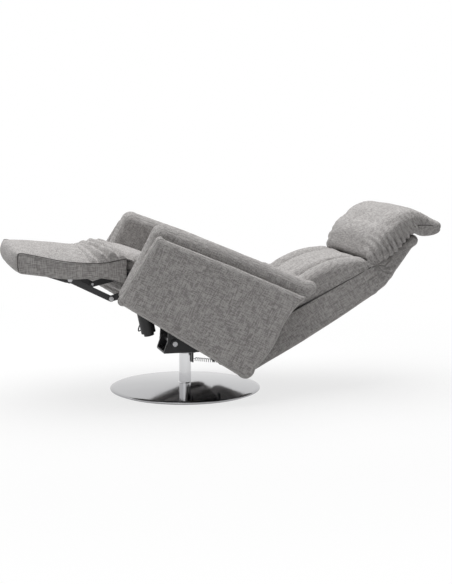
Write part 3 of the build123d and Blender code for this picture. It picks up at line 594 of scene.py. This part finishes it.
# footrest pad: crowned top, flat side gussets, round nose, and a pocket below that takes the board
footPad = {
    "half": 255, "pocket": 222, "roll": 59.2, "bulge": 1.6, "noseRound": 18, "rows": 52, "crownPower": 2.6,
    "sections": [   # along, crown, seam and bottom, from the knee to the nose
        (-34, 60, 24, -33), (-70, 63, 25, -33), (-110, 68, 28, -33), (-150, 73, 32, -32),
        (-190, 77.5, 39, -28), (-230, 81, 49, -21), (-270, 83.5, 59, -14.5), (-305, 84, 67, -9),
        (-328, 82, 70.5, -6), (-343, 77.5, 70, -1), (-353, 69, 64.5, 8), (-360, 56, 53.5, 20),
        (-364, 40, 38.5, 33),
    ],
    "board": (-325, 2.0, 22 / 250),   # front edge, height there, and fall towards the knee
    "welt": 0.0015, "weltOut": 1.2,
    "seam": [(-40, 24), (-91, 26.5), (-165, 34), (-238, 51), (-311, 68), (-336, 71), (-348, 68), (-352, 54),
             (-353.5, 36), (-352, 18), (-345, 4)],
}


def noseShift(along):   # how far the nose is set back at its corners
    return footPad["noseRound"] * max(0.0, min(1.0, (-300 - along) / 60)) ** 2


def footrestRow(share):   # one section's loop: over the top from side to side, and back underneath
    along, crown, seam, bottom = profileAt(footPad["sections"], share)
    half, pocket = footPad["half"], footPad["pocket"]
    boardFront, boardHeight, boardFall = footPad["board"]
    ceiling = boardHeight - boardFall * (along - boardFront) + 1.5 if along > boardFront - 1 else bottom
    over = []
    for k in range(7):
        over.append((-half - footPad["bulge"] * math.sin(math.pi * k / 6), bottom + (seam - bottom) * k / 6))
    for k in range(1, 14):
        x = -half + half * k / 14
        over.append((x, seam + (crown - seam) * (1 - abs(x / half) ** footPad["crownPower"])))
    under = [(-half, bottom), (-half + 11, bottom), (-half + 22, bottom), (-pocket, bottom)]
    under += [(-pocket, bottom + (ceiling - bottom) * k / 3) for k in range(1, 4)]
    under += [(-pocket + pocket * k / 14, ceiling) for k in range(1, 14)]
    over += [(0, crown)] + [(-x, z) for x, z in reversed(over)]
    under += [(0, ceiling)] + [(-x, z) for x, z in reversed(under)]
    nearRoll = max(0.0, min(1.0, (along + 110) / 76))

    def spot(x, z):
        rollLine = -math.sqrt(max(footPad["roll"] ** 2 - z * z, 28 ** 2))
        y = along + nearRoll * (rollLine - along) + noseShift(along) * abs(x / half) ** 3
        return footPoint(x, y, z)

    return [spot(*place) for place in over], [spot(*place) for place in under]


footRows = [footrestRow(k / (footPad["rows"] - 1)) for k in range(footPad["rows"])]
closing = []
for over, under in (footRows[0], footRows[-1]):
    middle = [(a + b) / 2 for a, b in zip(over, under)]
    closing.append(middle + middle[::-1])
loops = [closing[0]] + [over + under[::-1] for over, under in footRows] + [closing[1]]
footrestPad = clothFrom("footrestPad", loops)
applyModifier(footrestPad, "SUBSURF", levels=1, render_levels=1)
uneven(footrestPad, 0.0016, 0.08, 5.0)
smoothShade(footrestPad)
footrestPad.data.materials.append(footCloth)
dress(footrestPad, "footrest", 0.75, "footrest_pad")
# the dark welts along the side gussets are painted shade in the seams' creases
for label, sign in bothSides:
    spots = []
    for along, up in footPad["seam"]:
        spots.append(footPoint(sign * (footPad["half"] + footPad["weltOut"]), along + noseShift(along), up))
    trim(weltAlong("footrestSeam" + label, spots, footPad["welt"], seamPaintedShade), "footrest")

# knee roll, and the slack cloth over it that runs on to the seat
kneePad = {"voxel": 0.006, "shrink": 0.001, "seed": 6.0, "uneven": 0.001, "half": 0.23}
kneeRoll = padOver("kneeRoll", "knee_roll", kneePad, footCloth)
work = bmesh.new()
work.from_mesh(kneeRoll.data)
bmesh.ops.delete(work, geom=[v for v in work.verts if abs(v.co.x) > kneePad["half"]], context="VERTS")
work.to_mesh(kneeRoll.data)
work.free()
dress(kneeRoll, "footrest", 0.8, "knee_roll")
kneeCloth = {
    "columns": 84, "rows": 56, "thickness": 0.003, "flatLength": 0.24, "sleeve": 0.88, "edge": 247,
    "drawIn": 0.13, "roundFrom": 0.82,
    "middle": [(96, 46), (72, 58), (44, 66), (14, 67), (-16, 65), (-48, 63), (-82, 65), (-104, 61)],
    "shoulder": [(96, 28), (70, 39), (38, 48), (10, 52), (-14, 47), (-44, 36), (-80, 29), (-104, 22)],
    "hem": [(248, 96, 26), (249.8, 70, 38), (250, 38, 33.5), (251.2, 10, 28.5), (256, -14, 26),
            (257.4, -44, 24.5), (257, -80, 24), (252, -104, 16)],
    "fold": 0.026, "pitch": 0.036, "slant": 0.09,
}


def kneeSpot(t, share):
    middle, shoulder = profileAt(kneeCloth["middle"], share), profileAt(kneeCloth["shoulder"], share)
    hem = profileAt(kneeCloth["hem"], share)
    reach = min(1.0, abs(t) / kneeCloth["sleeve"])
    start, turn = kneeCloth["drawIn"], kneeCloth["roundFrom"]
    drawIn = start * min(1.0, reach / turn) ** 2 + (1 - start) * max(0.0, (reach - turn) / (1 - turn)) ** 2
    ontoPad = max(0.0, min(1.0, (share - 0.45) / 0.35))
    drawIn += (reach ** footPad["crownPower"] - drawIn) * ontoPad
    flat = middle.lerp(shoulder, drawIn)
    x, along, up = kneeCloth["edge"] * reach, flat.x, flat.y
    drop = max(0.0, (abs(t) - kneeCloth["sleeve"]) / (1 - kneeCloth["sleeve"]))
    x, along, up = x + (hem.x - x) * drop, along + (hem.y - along) * drop, up + (hem.z - up) * drop
    place = footPoint(math.copysign(x, t), along, up)
    phase = (place.y - kneeCloth["slant"] * place.x + 0.014 * noise.noise(place * 10)) / kneeCloth["pitch"]
    fade = math.sin(math.pi * share) ** 1.2 * (1 - drop)
    fade *= 0.7 + 0.6 * noise.noise(place * 8 + Vector((3, 1, 2)))
    place.z += kneeCloth["fold"] * fade * (abs(math.cos(math.pi * phase)) - 0.4)
    return place


kneeRows = []
for k in range(kneeCloth["rows"]):
    share = k / (kneeCloth["rows"] - 1)
    columns = kneeCloth["columns"]
    kneeRows.append([kneeSpot(c / columns * 2 - 1, share) for c in range(columns + 1)])
kneeCover = clothFrom("kneeCover", kneeRows)
thicken(kneeCover, kneeCloth, footCloth, offset=-1)
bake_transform(kneeCover)

kneeSide = {
    "rows": 30, "columns": 12, "thickness": 0.0024, "flatDepth": 0.075, "welt": 0.0015, "weltOut": 1.3,
    "sections": [   # along, top, bottom, and distance out
        (-70, 25, -33, 254.0), (-40, 24.5, -31, 256.6), (-12, 26, -35, 255.6), (12, 28.5, -41, 250.6),
        (36, 33.5, -48, 249.8), (66, 38.5, -58, 249.6),
    ],
}
sideRows = []
for k in range(kneeSide["rows"]):
    along, top, bottom, out = profileAt(kneeSide["sections"], k / (kneeSide["rows"] - 1))
    row = []
    for c in range(kneeSide["columns"] + 1):
        up = top + (bottom - top) * c / kneeSide["columns"]
        ripple = 0.9 * noise.noise(Vector((along / 26, up / 40, 4)))
        row.append(footPoint(out + ripple, along, up))
    sideRows.append(row)
kneeSideLeft = clothFrom("kneeSideLeft", sideRows)
thicken(kneeSideLeft, kneeSide, footCloth)
kneeSideRight = mirrored(kneeSideLeft, "kneeSideRight")
# the dark welts along the knee sides are painted shade in the seams' creases
for label, sign in bothSides:
    spots = []
    for along, top, bottom, out in kneeSide["sections"]:
        spots.append(footPoint(sign * (out + kneeSide["weltOut"]), along, top))
    kneeSeam = weltAlong("kneeSeam" + label, spots, kneeSide["welt"], seamPaintedShade)
    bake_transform(kneeSeam)
for piece in (kneeSideLeft, kneeSideRight):
    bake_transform(piece)
print("footrest done")

# back: outer shell, cushion, bolsters
shellPad = {"voxel": 0.008, "soften": 3, "seed": 7.0, "uneven": 0.0015, "wave": 0.11}
backShell = padOver("backShell", "back_shell", shellPad, backCloth)
dress(backShell, "back", 0.95, "back_shell")
headShell = padOver("headShell", "head_shell", shellPad, backCloth)
dress(headShell, "head", 0.95, "head_shell")
backPad = {
    "voxel": 0.008, "shrink": 0.004, "pressure": 4.0, "cap": 0.010, "seed": 8.0, "uneven": 0.002,
    "puffs": [(backPoint(0, -40, 540), side, 0.03, 0.007)],
    "folds": [{
        "middle": backPoint(0, -150, 250), "run": side, "across": backUp, "length": 0.16, "spread": 0.10,
        "pitch": 0.06, "depth": 0.002, "reach": 0.08, "drift": 2.0,
    }],
}
backCushion = padOver("backCushion", "back_cushion", backPad, backCloth)
dress(backCushion, "back", 0.65, "back_cushion")
bolsterPad = {
    "voxel": 0.006, "shrink": 0.001, "pressure": 4.0, "cap": 0.003, "seed": 9.0, "uneven": 0.0015,
    "pinches": [(backPoint(246, 6, 552), 9, 0.004, 0.05)],
    "puffs": [(backPoint(222, -6, 548), None, 0.045, 0.008)],
    "folds": [{
        "middle": backPoint(238, 0, 330), "run": backAlong, "across": backUp, "length": 0.03, "spread": 0.12,
        "pitch": 0.018, "depth": 0.0016, "reach": 0.05, "drift": 0.8,
    }],
}
bolsterLeft = padOver("bolsterLeft", "back_bolster_left", bolsterPad, backCloth)
bolsterRight = mirrored(bolsterLeft, "bolsterRight")
dress(bolsterLeft, "back", 0.7, "back_bolster_left")
dress(bolsterRight, "back", 0.7, "back_bolster_right")
sideBand = {   # closes the bolster's lower edge against the shell
    "low": 44, "high": 548, "rows": 40, "front": 4, "slope": 22, "rear": 46, "columns": 8, "out": 245.7,
    "sink": 2.2, "thickness": 0.0024, "welt": 0.0019, "weltOut": 244.8, "weltFront": 6,
}
bandLength = sideBand["high"] - sideBand["low"]
bandRows = []
for k in range(sideBand["rows"]):
    height = sideBand["low"] + bandLength * k / (sideBand["rows"] - 1)
    row = []
    for c in range(sideBand["columns"] + 1):
        share = c / sideBand["columns"]
        out = sideBand["out"] - sideBand["sink"] * (2 * share - 1) ** 4
        front = sideBand["front"] - sideBand["slope"] * (1 - k / (sideBand["rows"] - 1))
        row.append(backPoint(out, front + (sideBand["rear"] - front) * share, height))
    bandRows.append(row)
sideBandLeft = clothFrom("sideBandLeft", bandRows)
uneven(sideBandLeft, 0.0008, 0.04, 12.0)
thicken(sideBandLeft, sideBand, backCloth)
sideBandRight = mirrored(sideBandLeft, "sideBandRight")
for piece in (sideBandLeft, sideBandRight):
    trim(piece, "back")
# the dark welts along the bolsters' lower edges are painted shade in the crease against the shell
for label, sign in bothSides:
    spots = []
    for height in range(60, 552, 40):
        front = sideBand["weltFront"] - sideBand["slope"] * (sideBand["high"] - height) / bandLength
        spots.append(backPoint(sign * sideBand["weltOut"], front, height))
    trim(weltAlong("bolsterSeam" + label, spots, sideBand["welt"], seamPaintedShade), "back")
print("back done")

# headrest pillow, gathered at both ends
pillowFolds = []
for sign in (-1, 1):
    pillowFolds.append({   # gathers along the sewn edge at each end
        "middle": backPoint(sign * 268, -24, 655), "run": side, "across": backUp, "length": 0.065,
        "spread": 0.095, "pitch": 0.023, "depth": 0.018, "reach": 0.045, "drift": 1.8,
    })
    pillowFolds.append({   # finer gathers at each end's upper edge, where the tail is folded over
        "middle": backPoint(sign * 268, -66, 790), "run": side, "across": backUp, "length": 0.04,
        "spread": 0.055, "pitch": 0.016, "depth": 0.012, "reach": 0.045, "drift": 1.8,
    })
pillowPad = {
    "voxel": 0.007, "shrink": 0.005, "pressure": 6.0, "cap": 0.007, "sink": 0.001, "seed": 10.0,
    "uneven": 0.004, "wave": 0.09, "folds": pillowFolds,
    "pinches": [(backPoint(sign * 250, 4, 585), 9, 0.006, 0.06) for sign in (-1, 1)],
    "puffs": [(backPoint(0, 8, 856), side, 0.034, 0.010), (backPoint(0, -24, 552), side, 0.03, 0.008)]
             + [(backPoint(sign * 250, -6, 590), None, 0.05, 0.012) for sign in (-1, 1)]
             + [(backPoint(sign * 262, -4, 665), None, 0.06, 0.010) for sign in (-1, 1)],
}
pillow = padOver("headPillow", "headrest_pillow", pillowPad, backCloth)
dress(pillow, "head", 0.6, "headrest_pillow")
pillowEar = {   # the tail's end, folded in and sewn below the gathers
    # distance out, size, and how far it is drawn up into the tail
    "sections": [(130, 0.45, 26), (190, 0.82, 12), (232, 1.0, 0), (260, 0.98, 0), (270, 0.82, 0),
                 (274, 0.45, 0), (275, 0.05, 0)],
    "outline": [(-60, 754), (-55, 785), (-25, 829), (-1, 853), (13, 860), (26, 850), (25, 822), (7, 784),
                (-18, 758), (-42, 748), (-60, 754)],
    "seam": [(266, -52, 744), (272, -50, 762), (275, -44, 784), (275, -31, 808), (274, -14, 831),
             (270, 3, 850)],
    "middle": (-12, 806), "steps": 44, "rows": 26, "creases": 8, "depth": 0.0045, "reach": 0.05,
    "pinch": (258, -50, 768), "welt": 0.0017,
}
middleAlong, middleUp = pillowEar["middle"]
earRows = []
for k in range(pillowEar["rows"]):
    out, size, drawn = profileAt(pillowEar["sections"], k / (pillowEar["rows"] - 1))
    row = []
    for c in range(pillowEar["steps"]):
        along, up = profileAt(pillowEar["outline"], c / pillowEar["steps"])
        along = middleAlong + (along - middleAlong) * size - drawn
        row.append(backPoint(out, along, middleUp + (up - middleUp) * size))
    earRows.append(row + row[:1])
earLeft = clothFrom("pillowEarLeft", earRows)
pinchFolds(earLeft, backPoint(*pillowEar["pinch"]), pillowEar["creases"], pillowEar["depth"],
           pillowEar["reach"])
applyModifier(earLeft, "SUBSURF", levels=1, render_levels=1)
smoothShade(earLeft)
earLeft.data.materials.append(backCloth)
for piece in (earLeft, mirrored(earLeft, "pillowEarRight")):
    trim(piece, "head")
# the dark welts along the ears' top edges are painted shadow at the seam between ear and pillow
for label, sign in bothSides:
    spots = [backPoint(sign * out, along, up) for out, along, up in pillowEar["seam"]]
    trim(weltAlong("earSeam" + label, spots, pillowEar["welt"], seamPaintedShade), "head")
print("pillow done")

# cloth that carries the outer shell round the head hinge
neckCloth = {
    "low": 486, "high": 634, "rows": 30, "sides": 84, "thickness": 0.003,
    "front": [(486, 45), (520, 44), (556, 40), (590, 30), (634, 16)],
    "rear": [(486, 119), (523, 113), (556, 104.5), (590, 93), (634, 76)],
    "side": 246.5, "corner": 17, "sunk": -0.002, "proud": 0.003, "rimHeight": 0.18, "rimSide": 0.05,
}
neckLength = neckCloth["high"] - neckCloth["low"]


def lineAt(points, height):
    for (lowHeight, lowValue), (highHeight, highValue) in zip(points, points[1:]):
        if height <= highHeight:
            return lowValue + (highValue - lowValue) * (height - lowHeight) / (highHeight - lowHeight)
    return points[-1][1]


def neckSpot(share, height):   # round the shell from one side's front edge, by the rear, to the other
    front, rear = lineAt(neckCloth["front"], height), lineAt(neckCloth["rear"], height)
    corner, half = neckCloth["corner"], neckCloth["side"]
    run = [(half, front), (half, rear - corner), (half - corner * 0.3, rear - corner * 0.3),
           (half - corner, rear)]
    run += [(-x, along) for x, along in reversed(run)]
    lengths = [math.dist(a, b) for a, b in zip(run, run[1:])]
    reach = share * sum(lengths)
    for (a, b), length in zip(zip(run, run[1:]), lengths):
        if reach <= length:
            return Vector(a).lerp(Vector(b), reach / length)
        reach -= length
    return Vector(run[-1])


skinWork = bmesh.new()
skinWork.from_mesh(backShell.data)
skinWork.from_mesh(headShell.data)
shellSkin = BVHTree.FromBMesh(skinWork)
skinWork.free()
neckRows = []
for k in range(neckCloth["rows"] + 1):
    heightShare = k / neckCloth["rows"]
    height = neckCloth["low"] + neckLength * heightShare
    row = []
    for c in range(neckCloth["sides"] + 1):
        share = c / neckCloth["sides"]
        spot = neckSpot(share, height)
        onSkin, outward = shellSkin.find_nearest(backPoint(spot.x, spot.y, height))[:2]
        fromEnd, fromSide = min(heightShare, 1 - heightShare), min(share, 1 - share)
        rim = min(1.0, fromEnd / neckCloth["rimHeight"], fromSide / neckCloth["rimSide"])
        row.append(onSkin + outward * (neckCloth["sunk"] + (neckCloth["proud"] - neckCloth["sunk"]) * rim))
    neckRows.append(row)
neckWrap = clothFrom("neckWrap", neckRows)
applyModifier(neckWrap, "SMOOTH", factor=0.5, iterations=5)
applyModifier(neckWrap, "SUBSURF", levels=1, render_levels=1)
for sign in (-1, 1):
    pinchFolds(neckWrap, backPoint(sign * neckCloth["side"], 30, 566), 11, 0.0035, 0.055)
uneven(neckWrap, 0.0010, 0.05, 11.0)
applyModifier(neckWrap, "SOLIDIFY", thickness=neckCloth["thickness"], offset=0)
smoothShade(neckWrap)
neckWrap.data.materials.append(backCloth)
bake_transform(neckWrap)
neckPatch = {   # a round of cloth drawn together at one point, cut from a square blank
    "rings": 12, "spokes": 72, "radius": 46, "pinch": 235, "rise": 10.5, "creases": 9, "depth": 2.6,
    "thickness": 0.0024, "middle": (12, 566), "blank": 0.1, "perBlank": 0.078,
}
patchRows = []
for k in range(neckPatch["rings"] + 1):
    share = k / neckPatch["rings"]
    out = neckPatch["pinch"] + neckPatch["rise"] * (1 - (1.25 * share - 0.75) ** 2 / 0.5625)
    row = []
    for c in range(neckPatch["spokes"] + 1):
        turn = math.tau * c / neckPatch["spokes"]
        crease = neckPatch["depth"] * math.cos(neckPatch["creases"] * turn) * math.sin(math.pi * share)
        reach = neckPatch["radius"] * share
        row.append(backPoint(out + crease, neckPatch["middle"][0] + reach * math.cos(turn),
                             neckPatch["middle"][1] + reach * math.sin(turn)))
    patchRows.append(row)
neckPatchLeft = clothFrom("neckPatchLeft", patchRows)
thicken(neckPatchLeft, neckPatch, backCloth)
neckPatchRight = mirrored(neckPatchLeft, "neckPatchRight")
for piece in (neckPatchLeft, neckPatchRight):
    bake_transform(piece)


def clothAcross(name, cloth, seed):   # one section carried from side to side, with some slack in it
    rows = []
    for k in range(cloth["rows"]):
        along, up = profileAt(cloth["section"], k / (cloth["rows"] - 1))
        slack = cloth["slack"] * math.sin(math.pi * k / (cloth["rows"] - 1))
        row = []
        for c in range(cloth["columns"] + 1):
            x = cloth["half"] * (2 * c / cloth["columns"] - 1)
            ripple = slack * noise.noise(Vector((x / 34, along / 50, seed)))
            row.append(backPoint(x, along + ripple, up + ripple))
        rows.append(row)
    piece = clothFrom(name, rows)
    area = clothSize(piece)
    thicken(piece, cloth, backCloth)
    return piece, area


# linings that close the gap under the pillow and the gap behind the seat
throatCloth = {
    "rows": 20, "columns": 60, "half": 236, "slack": 0.8, "thickness": 0.0024,
    "section": [(-8, 531), (2, 541), (13, 547), (19, 556), (17, 566), (9, 574), (0, 581), (-9, 590)],
}
throatLining, throatArea = clothAcross("throatLining", throatCloth, 2.0)
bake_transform(throatLining)
loinCloth = {
    "rows": 24, "columns": 60, "half": 226, "slack": 2.5, "thickness": 0.0024,
    "section": [(-84, 26), (-69, 37), (-48, 47), (-27, 62), (-14, 84), (-14, 106), (-22, 134)],
}
loinLining, loinArea = clothAcross("loinLining", loinCloth, 6.0)
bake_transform(loinLining)
print("neck and linings done")

# polished foot and column, turned smooth so that they mirror cleanly
footDisc = {
    "radius": 0.300, "rim": 0.012, "crown": 0.030, "low": 0.004, "bore": 0.0242, "recess": 0.068,
    "recessDepth": 0.008, "edge": 0.0055, "lowerEdge": 0.006, "crownPower": 1.7, "edgeSteps": 8,
    "crownSteps": 24,
}
discLow, edgeAt = footDisc["low"], footDisc["radius"] - footDisc["edge"]
discLine = [
    (footDisc["bore"], discLow + footDisc["recessDepth"]),
    (footDisc["recess"], discLow + footDisc["recessDepth"]),
    (footDisc["recess"], discLow), (footDisc["radius"] - footDisc["lowerEdge"], discLow),
]
rimHeight = (footDisc["rim"] - discLow) / 2
for step in range(1, footDisc["edgeSteps"]):
    turn = math.radians(-90 + 180 * step / footDisc["edgeSteps"])
    height = discLow + rimHeight + rimHeight * math.sin(turn)
    discLine.append((edgeAt + footDisc["edge"] * math.cos(turn), height))
for step in range(footDisc["crownSteps"] + 1):
    radius = edgeAt + (footDisc["bore"] - edgeAt) * step / footDisc["crownSteps"]
    rise = 1 - (radius / footDisc["radius"]) ** footDisc["crownPower"]
    discLine.append((radius, footDisc["rim"] + (footDisc["crown"] - footDisc["rim"]) * rise))
discLine.append(discLine[0])
baseDisc = lathe("baseDisc", discLine)
smoothShade(baseDisc, 40)
# the disc's chrome is darker than the column's, painted shade for the darker surroundings it mirrors
baseDisc.data.materials.append(discChromePaintedShade)
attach(baseDisc, "base")
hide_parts("base_disc")

columnLine = [(0.0205, 0.020), (0.0205, 0.150), (0.0232, 0.150), (0.024, 0.1492), (0.024, 0.032),
              (0.0262, 0.0312), (0.0268, 0.0296), (0.0205, 0.0290), (0.0205, 0.020)]
columnTube = lathe("columnTube", columnLine, 96)
smoothShade(columnTube, 40)
columnTube.data.materials.append(polishedChrome)
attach(columnTube, "base")
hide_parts("column")

# balance spring between the turret's bracket and the seat's lug, a smooth-shaded copy of its solid
springCoil = copyOf("balance_spring", "springCoil")
smoothShade(springCoil, 60)
springCoil.data.materials.append(springWire)
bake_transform(springCoil)
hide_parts("balance_spring")

# lead from the footrest's motor to the control box, which hangs in one loop
motorLead = {
    "diameter": 0.005,
    "route": [   # the same spots as the solid's route, across, along and up from the tilt axis
        (-29, -107.28, 8.46), (-52, -107.28, 4.46), (-70, -109.28, -17.54), (-92, -111.28, -27.54),
        (-114, -111.28, -7.54), (-126, -109.28, 32.46), (-131, -106, 91), (-135, -100, 111), (-135, -80, 116),
    ],
}
leadSpots = [seatPoint(*spot) for spot in motorLead["route"]]
leadLoop = smoothLine("leadLoop", leadSpots, motorLead["diameter"] / 2)
leadLoop.data.materials.append(leadSkin)
bare = leadLoop.data.copy()
bare.bevel_depth = 0
bareLine = bpy.data.objects.new("bareLine", bare)
leadRun = [vertex.co.copy() for vertex in bpy.data.meshes.new_from_object(bareLine).vertices]
bpy.data.objects.remove(bareLine)
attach(leadLoop, "seat")
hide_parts("motor_lead")
print("metal done")

# camera, from the photograph's perspective
shot = {"place": (5.2, -1.237, 1.1576), "yaw": 15.136, "pitch": 8.151, "lens": 83.84}
yaw, pitch = math.radians(shot["yaw"]), math.radians(shot["pitch"])
aim = Vector((-math.cos(yaw) * math.cos(pitch), math.sin(yaw) * math.cos(pitch), -math.sin(pitch)))
deselectAll()
bpy.ops.object.camera_add(location=shot["place"], rotation=aim.to_track_quat("-Z", "Y").to_euler())
scene.camera = bpy.context.object
scene.camera.data.sensor_width = 36
scene.camera.data.lens = shot["lens"]

# floor, white surroundings and soft light from above
studio = {
    "floor": (0.86, 0.86, 0.86), "floorRough": 0.75, "fadeFrom": 0.7, "fadeTo": 2.4, "fadeLow": 0.76,
    "fill": 0.15,
    "key": 215.0, "keySize": 5.0, "keyPlace": (-0.6, -0.1, 3.6), "keyAim": (0, 0.1, 0.4),
    "side": 5.0, "sideSize": 2.0, "sidePlace": (3.4, -2.2, 1.9), "sideAim": (0, 0, 0.5),
}
deselectAll()
bpy.ops.mesh.primitive_plane_add(size=60, location=(0, 0, 0))
floor = bpy.context.object
floor.name = "studioFloor"
floorPaint, floorTree, floorShader = newFinish("floorPaint", studio["floor"], studio["floorRough"])
floor.data.materials.append(floorPaint)
joinFloor = floorTree.links.new
floorRays = addNode(floorTree, "ShaderNodeLightPath")
floorPlace = addNode(floorTree, "ShaderNodeTexCoord")
floorReach = addNode(floorTree, "ShaderNodeVectorMath", operation="LENGTH")
joinFloor(floorPlace.outputs["Object"], floorReach.inputs[0])
floorFade = addNode(floorTree, "ShaderNodeMapRange", interpolation_type="SMOOTHSTEP")
floorFade.inputs["From Min"].default_value = studio["fadeFrom"]
floorFade.inputs["From Max"].default_value = studio["fadeTo"]
floorFade.inputs["To Min"].default_value = studio["fadeLow"]
joinFloor(floorReach.outputs["Value"], floorFade.inputs["Value"])
floorSeen = addNode(floorTree, "ShaderNodeMath", operation="MAXIMUM")
joinFloor(floorRays.outputs["Is Camera Ray"], floorSeen.inputs[0])
joinFloor(floorRays.outputs["Is Glossy Ray"], floorSeen.inputs[1])
floorMix = addNode(floorTree, "ShaderNodeMath", operation="MULTIPLY")
joinFloor(floorFade.outputs["Result"], floorMix.inputs[0])
joinFloor(floorSeen.outputs[0], floorMix.inputs[1])
floorGlow = addNode(floorTree, "ShaderNodeEmission")
floorBoth = addNode(floorTree, "ShaderNodeMixShader")
joinFloor(floorMix.outputs[0], floorBoth.inputs["Fac"])
joinFloor(floorShader.outputs[0], floorBoth.inputs[1])
joinFloor(floorGlow.outputs[0], floorBoth.inputs[2])
joinFloor(floorBoth.outputs[0], floorTree.nodes["Material Output"].inputs["Surface"])

world = bpy.data.worlds.new("studioWorld")
scene.world = world
world.use_nodes = True
sky = world.node_tree
joinSky = sky.links.new
sky.nodes.clear()
rays = addNode(sky, "ShaderNodeLightPath")
seen = addNode(sky, "ShaderNodeMath", operation="MAXIMUM")
joinSky(rays.outputs["Is Camera Ray"], seen.inputs[0])
joinSky(rays.outputs["Is Glossy Ray"], seen.inputs[1])
clear = addNode(sky, "ShaderNodeMath", operation="MAXIMUM")
joinSky(seen.outputs[0], clear.inputs[0])
joinSky(rays.outputs["Is Transmission Ray"], clear.inputs[1])
strength = addNode(sky, "ShaderNodeMapRange")
strength.inputs["To Min"].default_value = studio["fill"]
strength.inputs["To Max"].default_value = 1.0
joinSky(clear.outputs[0], strength.inputs["Value"])
white = addNode(sky, "ShaderNodeBackground")
white.inputs["Color"].default_value = (1, 1, 1, 1)
joinSky(strength.outputs["Result"], white.inputs["Strength"])
output = addNode(sky, "ShaderNodeOutputWorld")
joinSky(white.outputs[0], output.inputs["Surface"])


def softLamp(name, place, target, size, power):
    deselectAll()
    turn = (Vector(target) - Vector(place)).to_track_quat("-Z", "Y").to_euler()
    bpy.ops.object.light_add(type="AREA", location=place, rotation=turn)
    lamp = bpy.context.object
    lamp.name = name
    lamp.data.size = size
    lamp.data.energy = power


softLamp("topLamp", studio["keyPlace"], studio["keyAim"], studio["keySize"], studio["key"])
softLamp("sideLamp", studio["sidePlace"], studio["sideAim"], studio["sideSize"], studio["side"])
print("studio done")
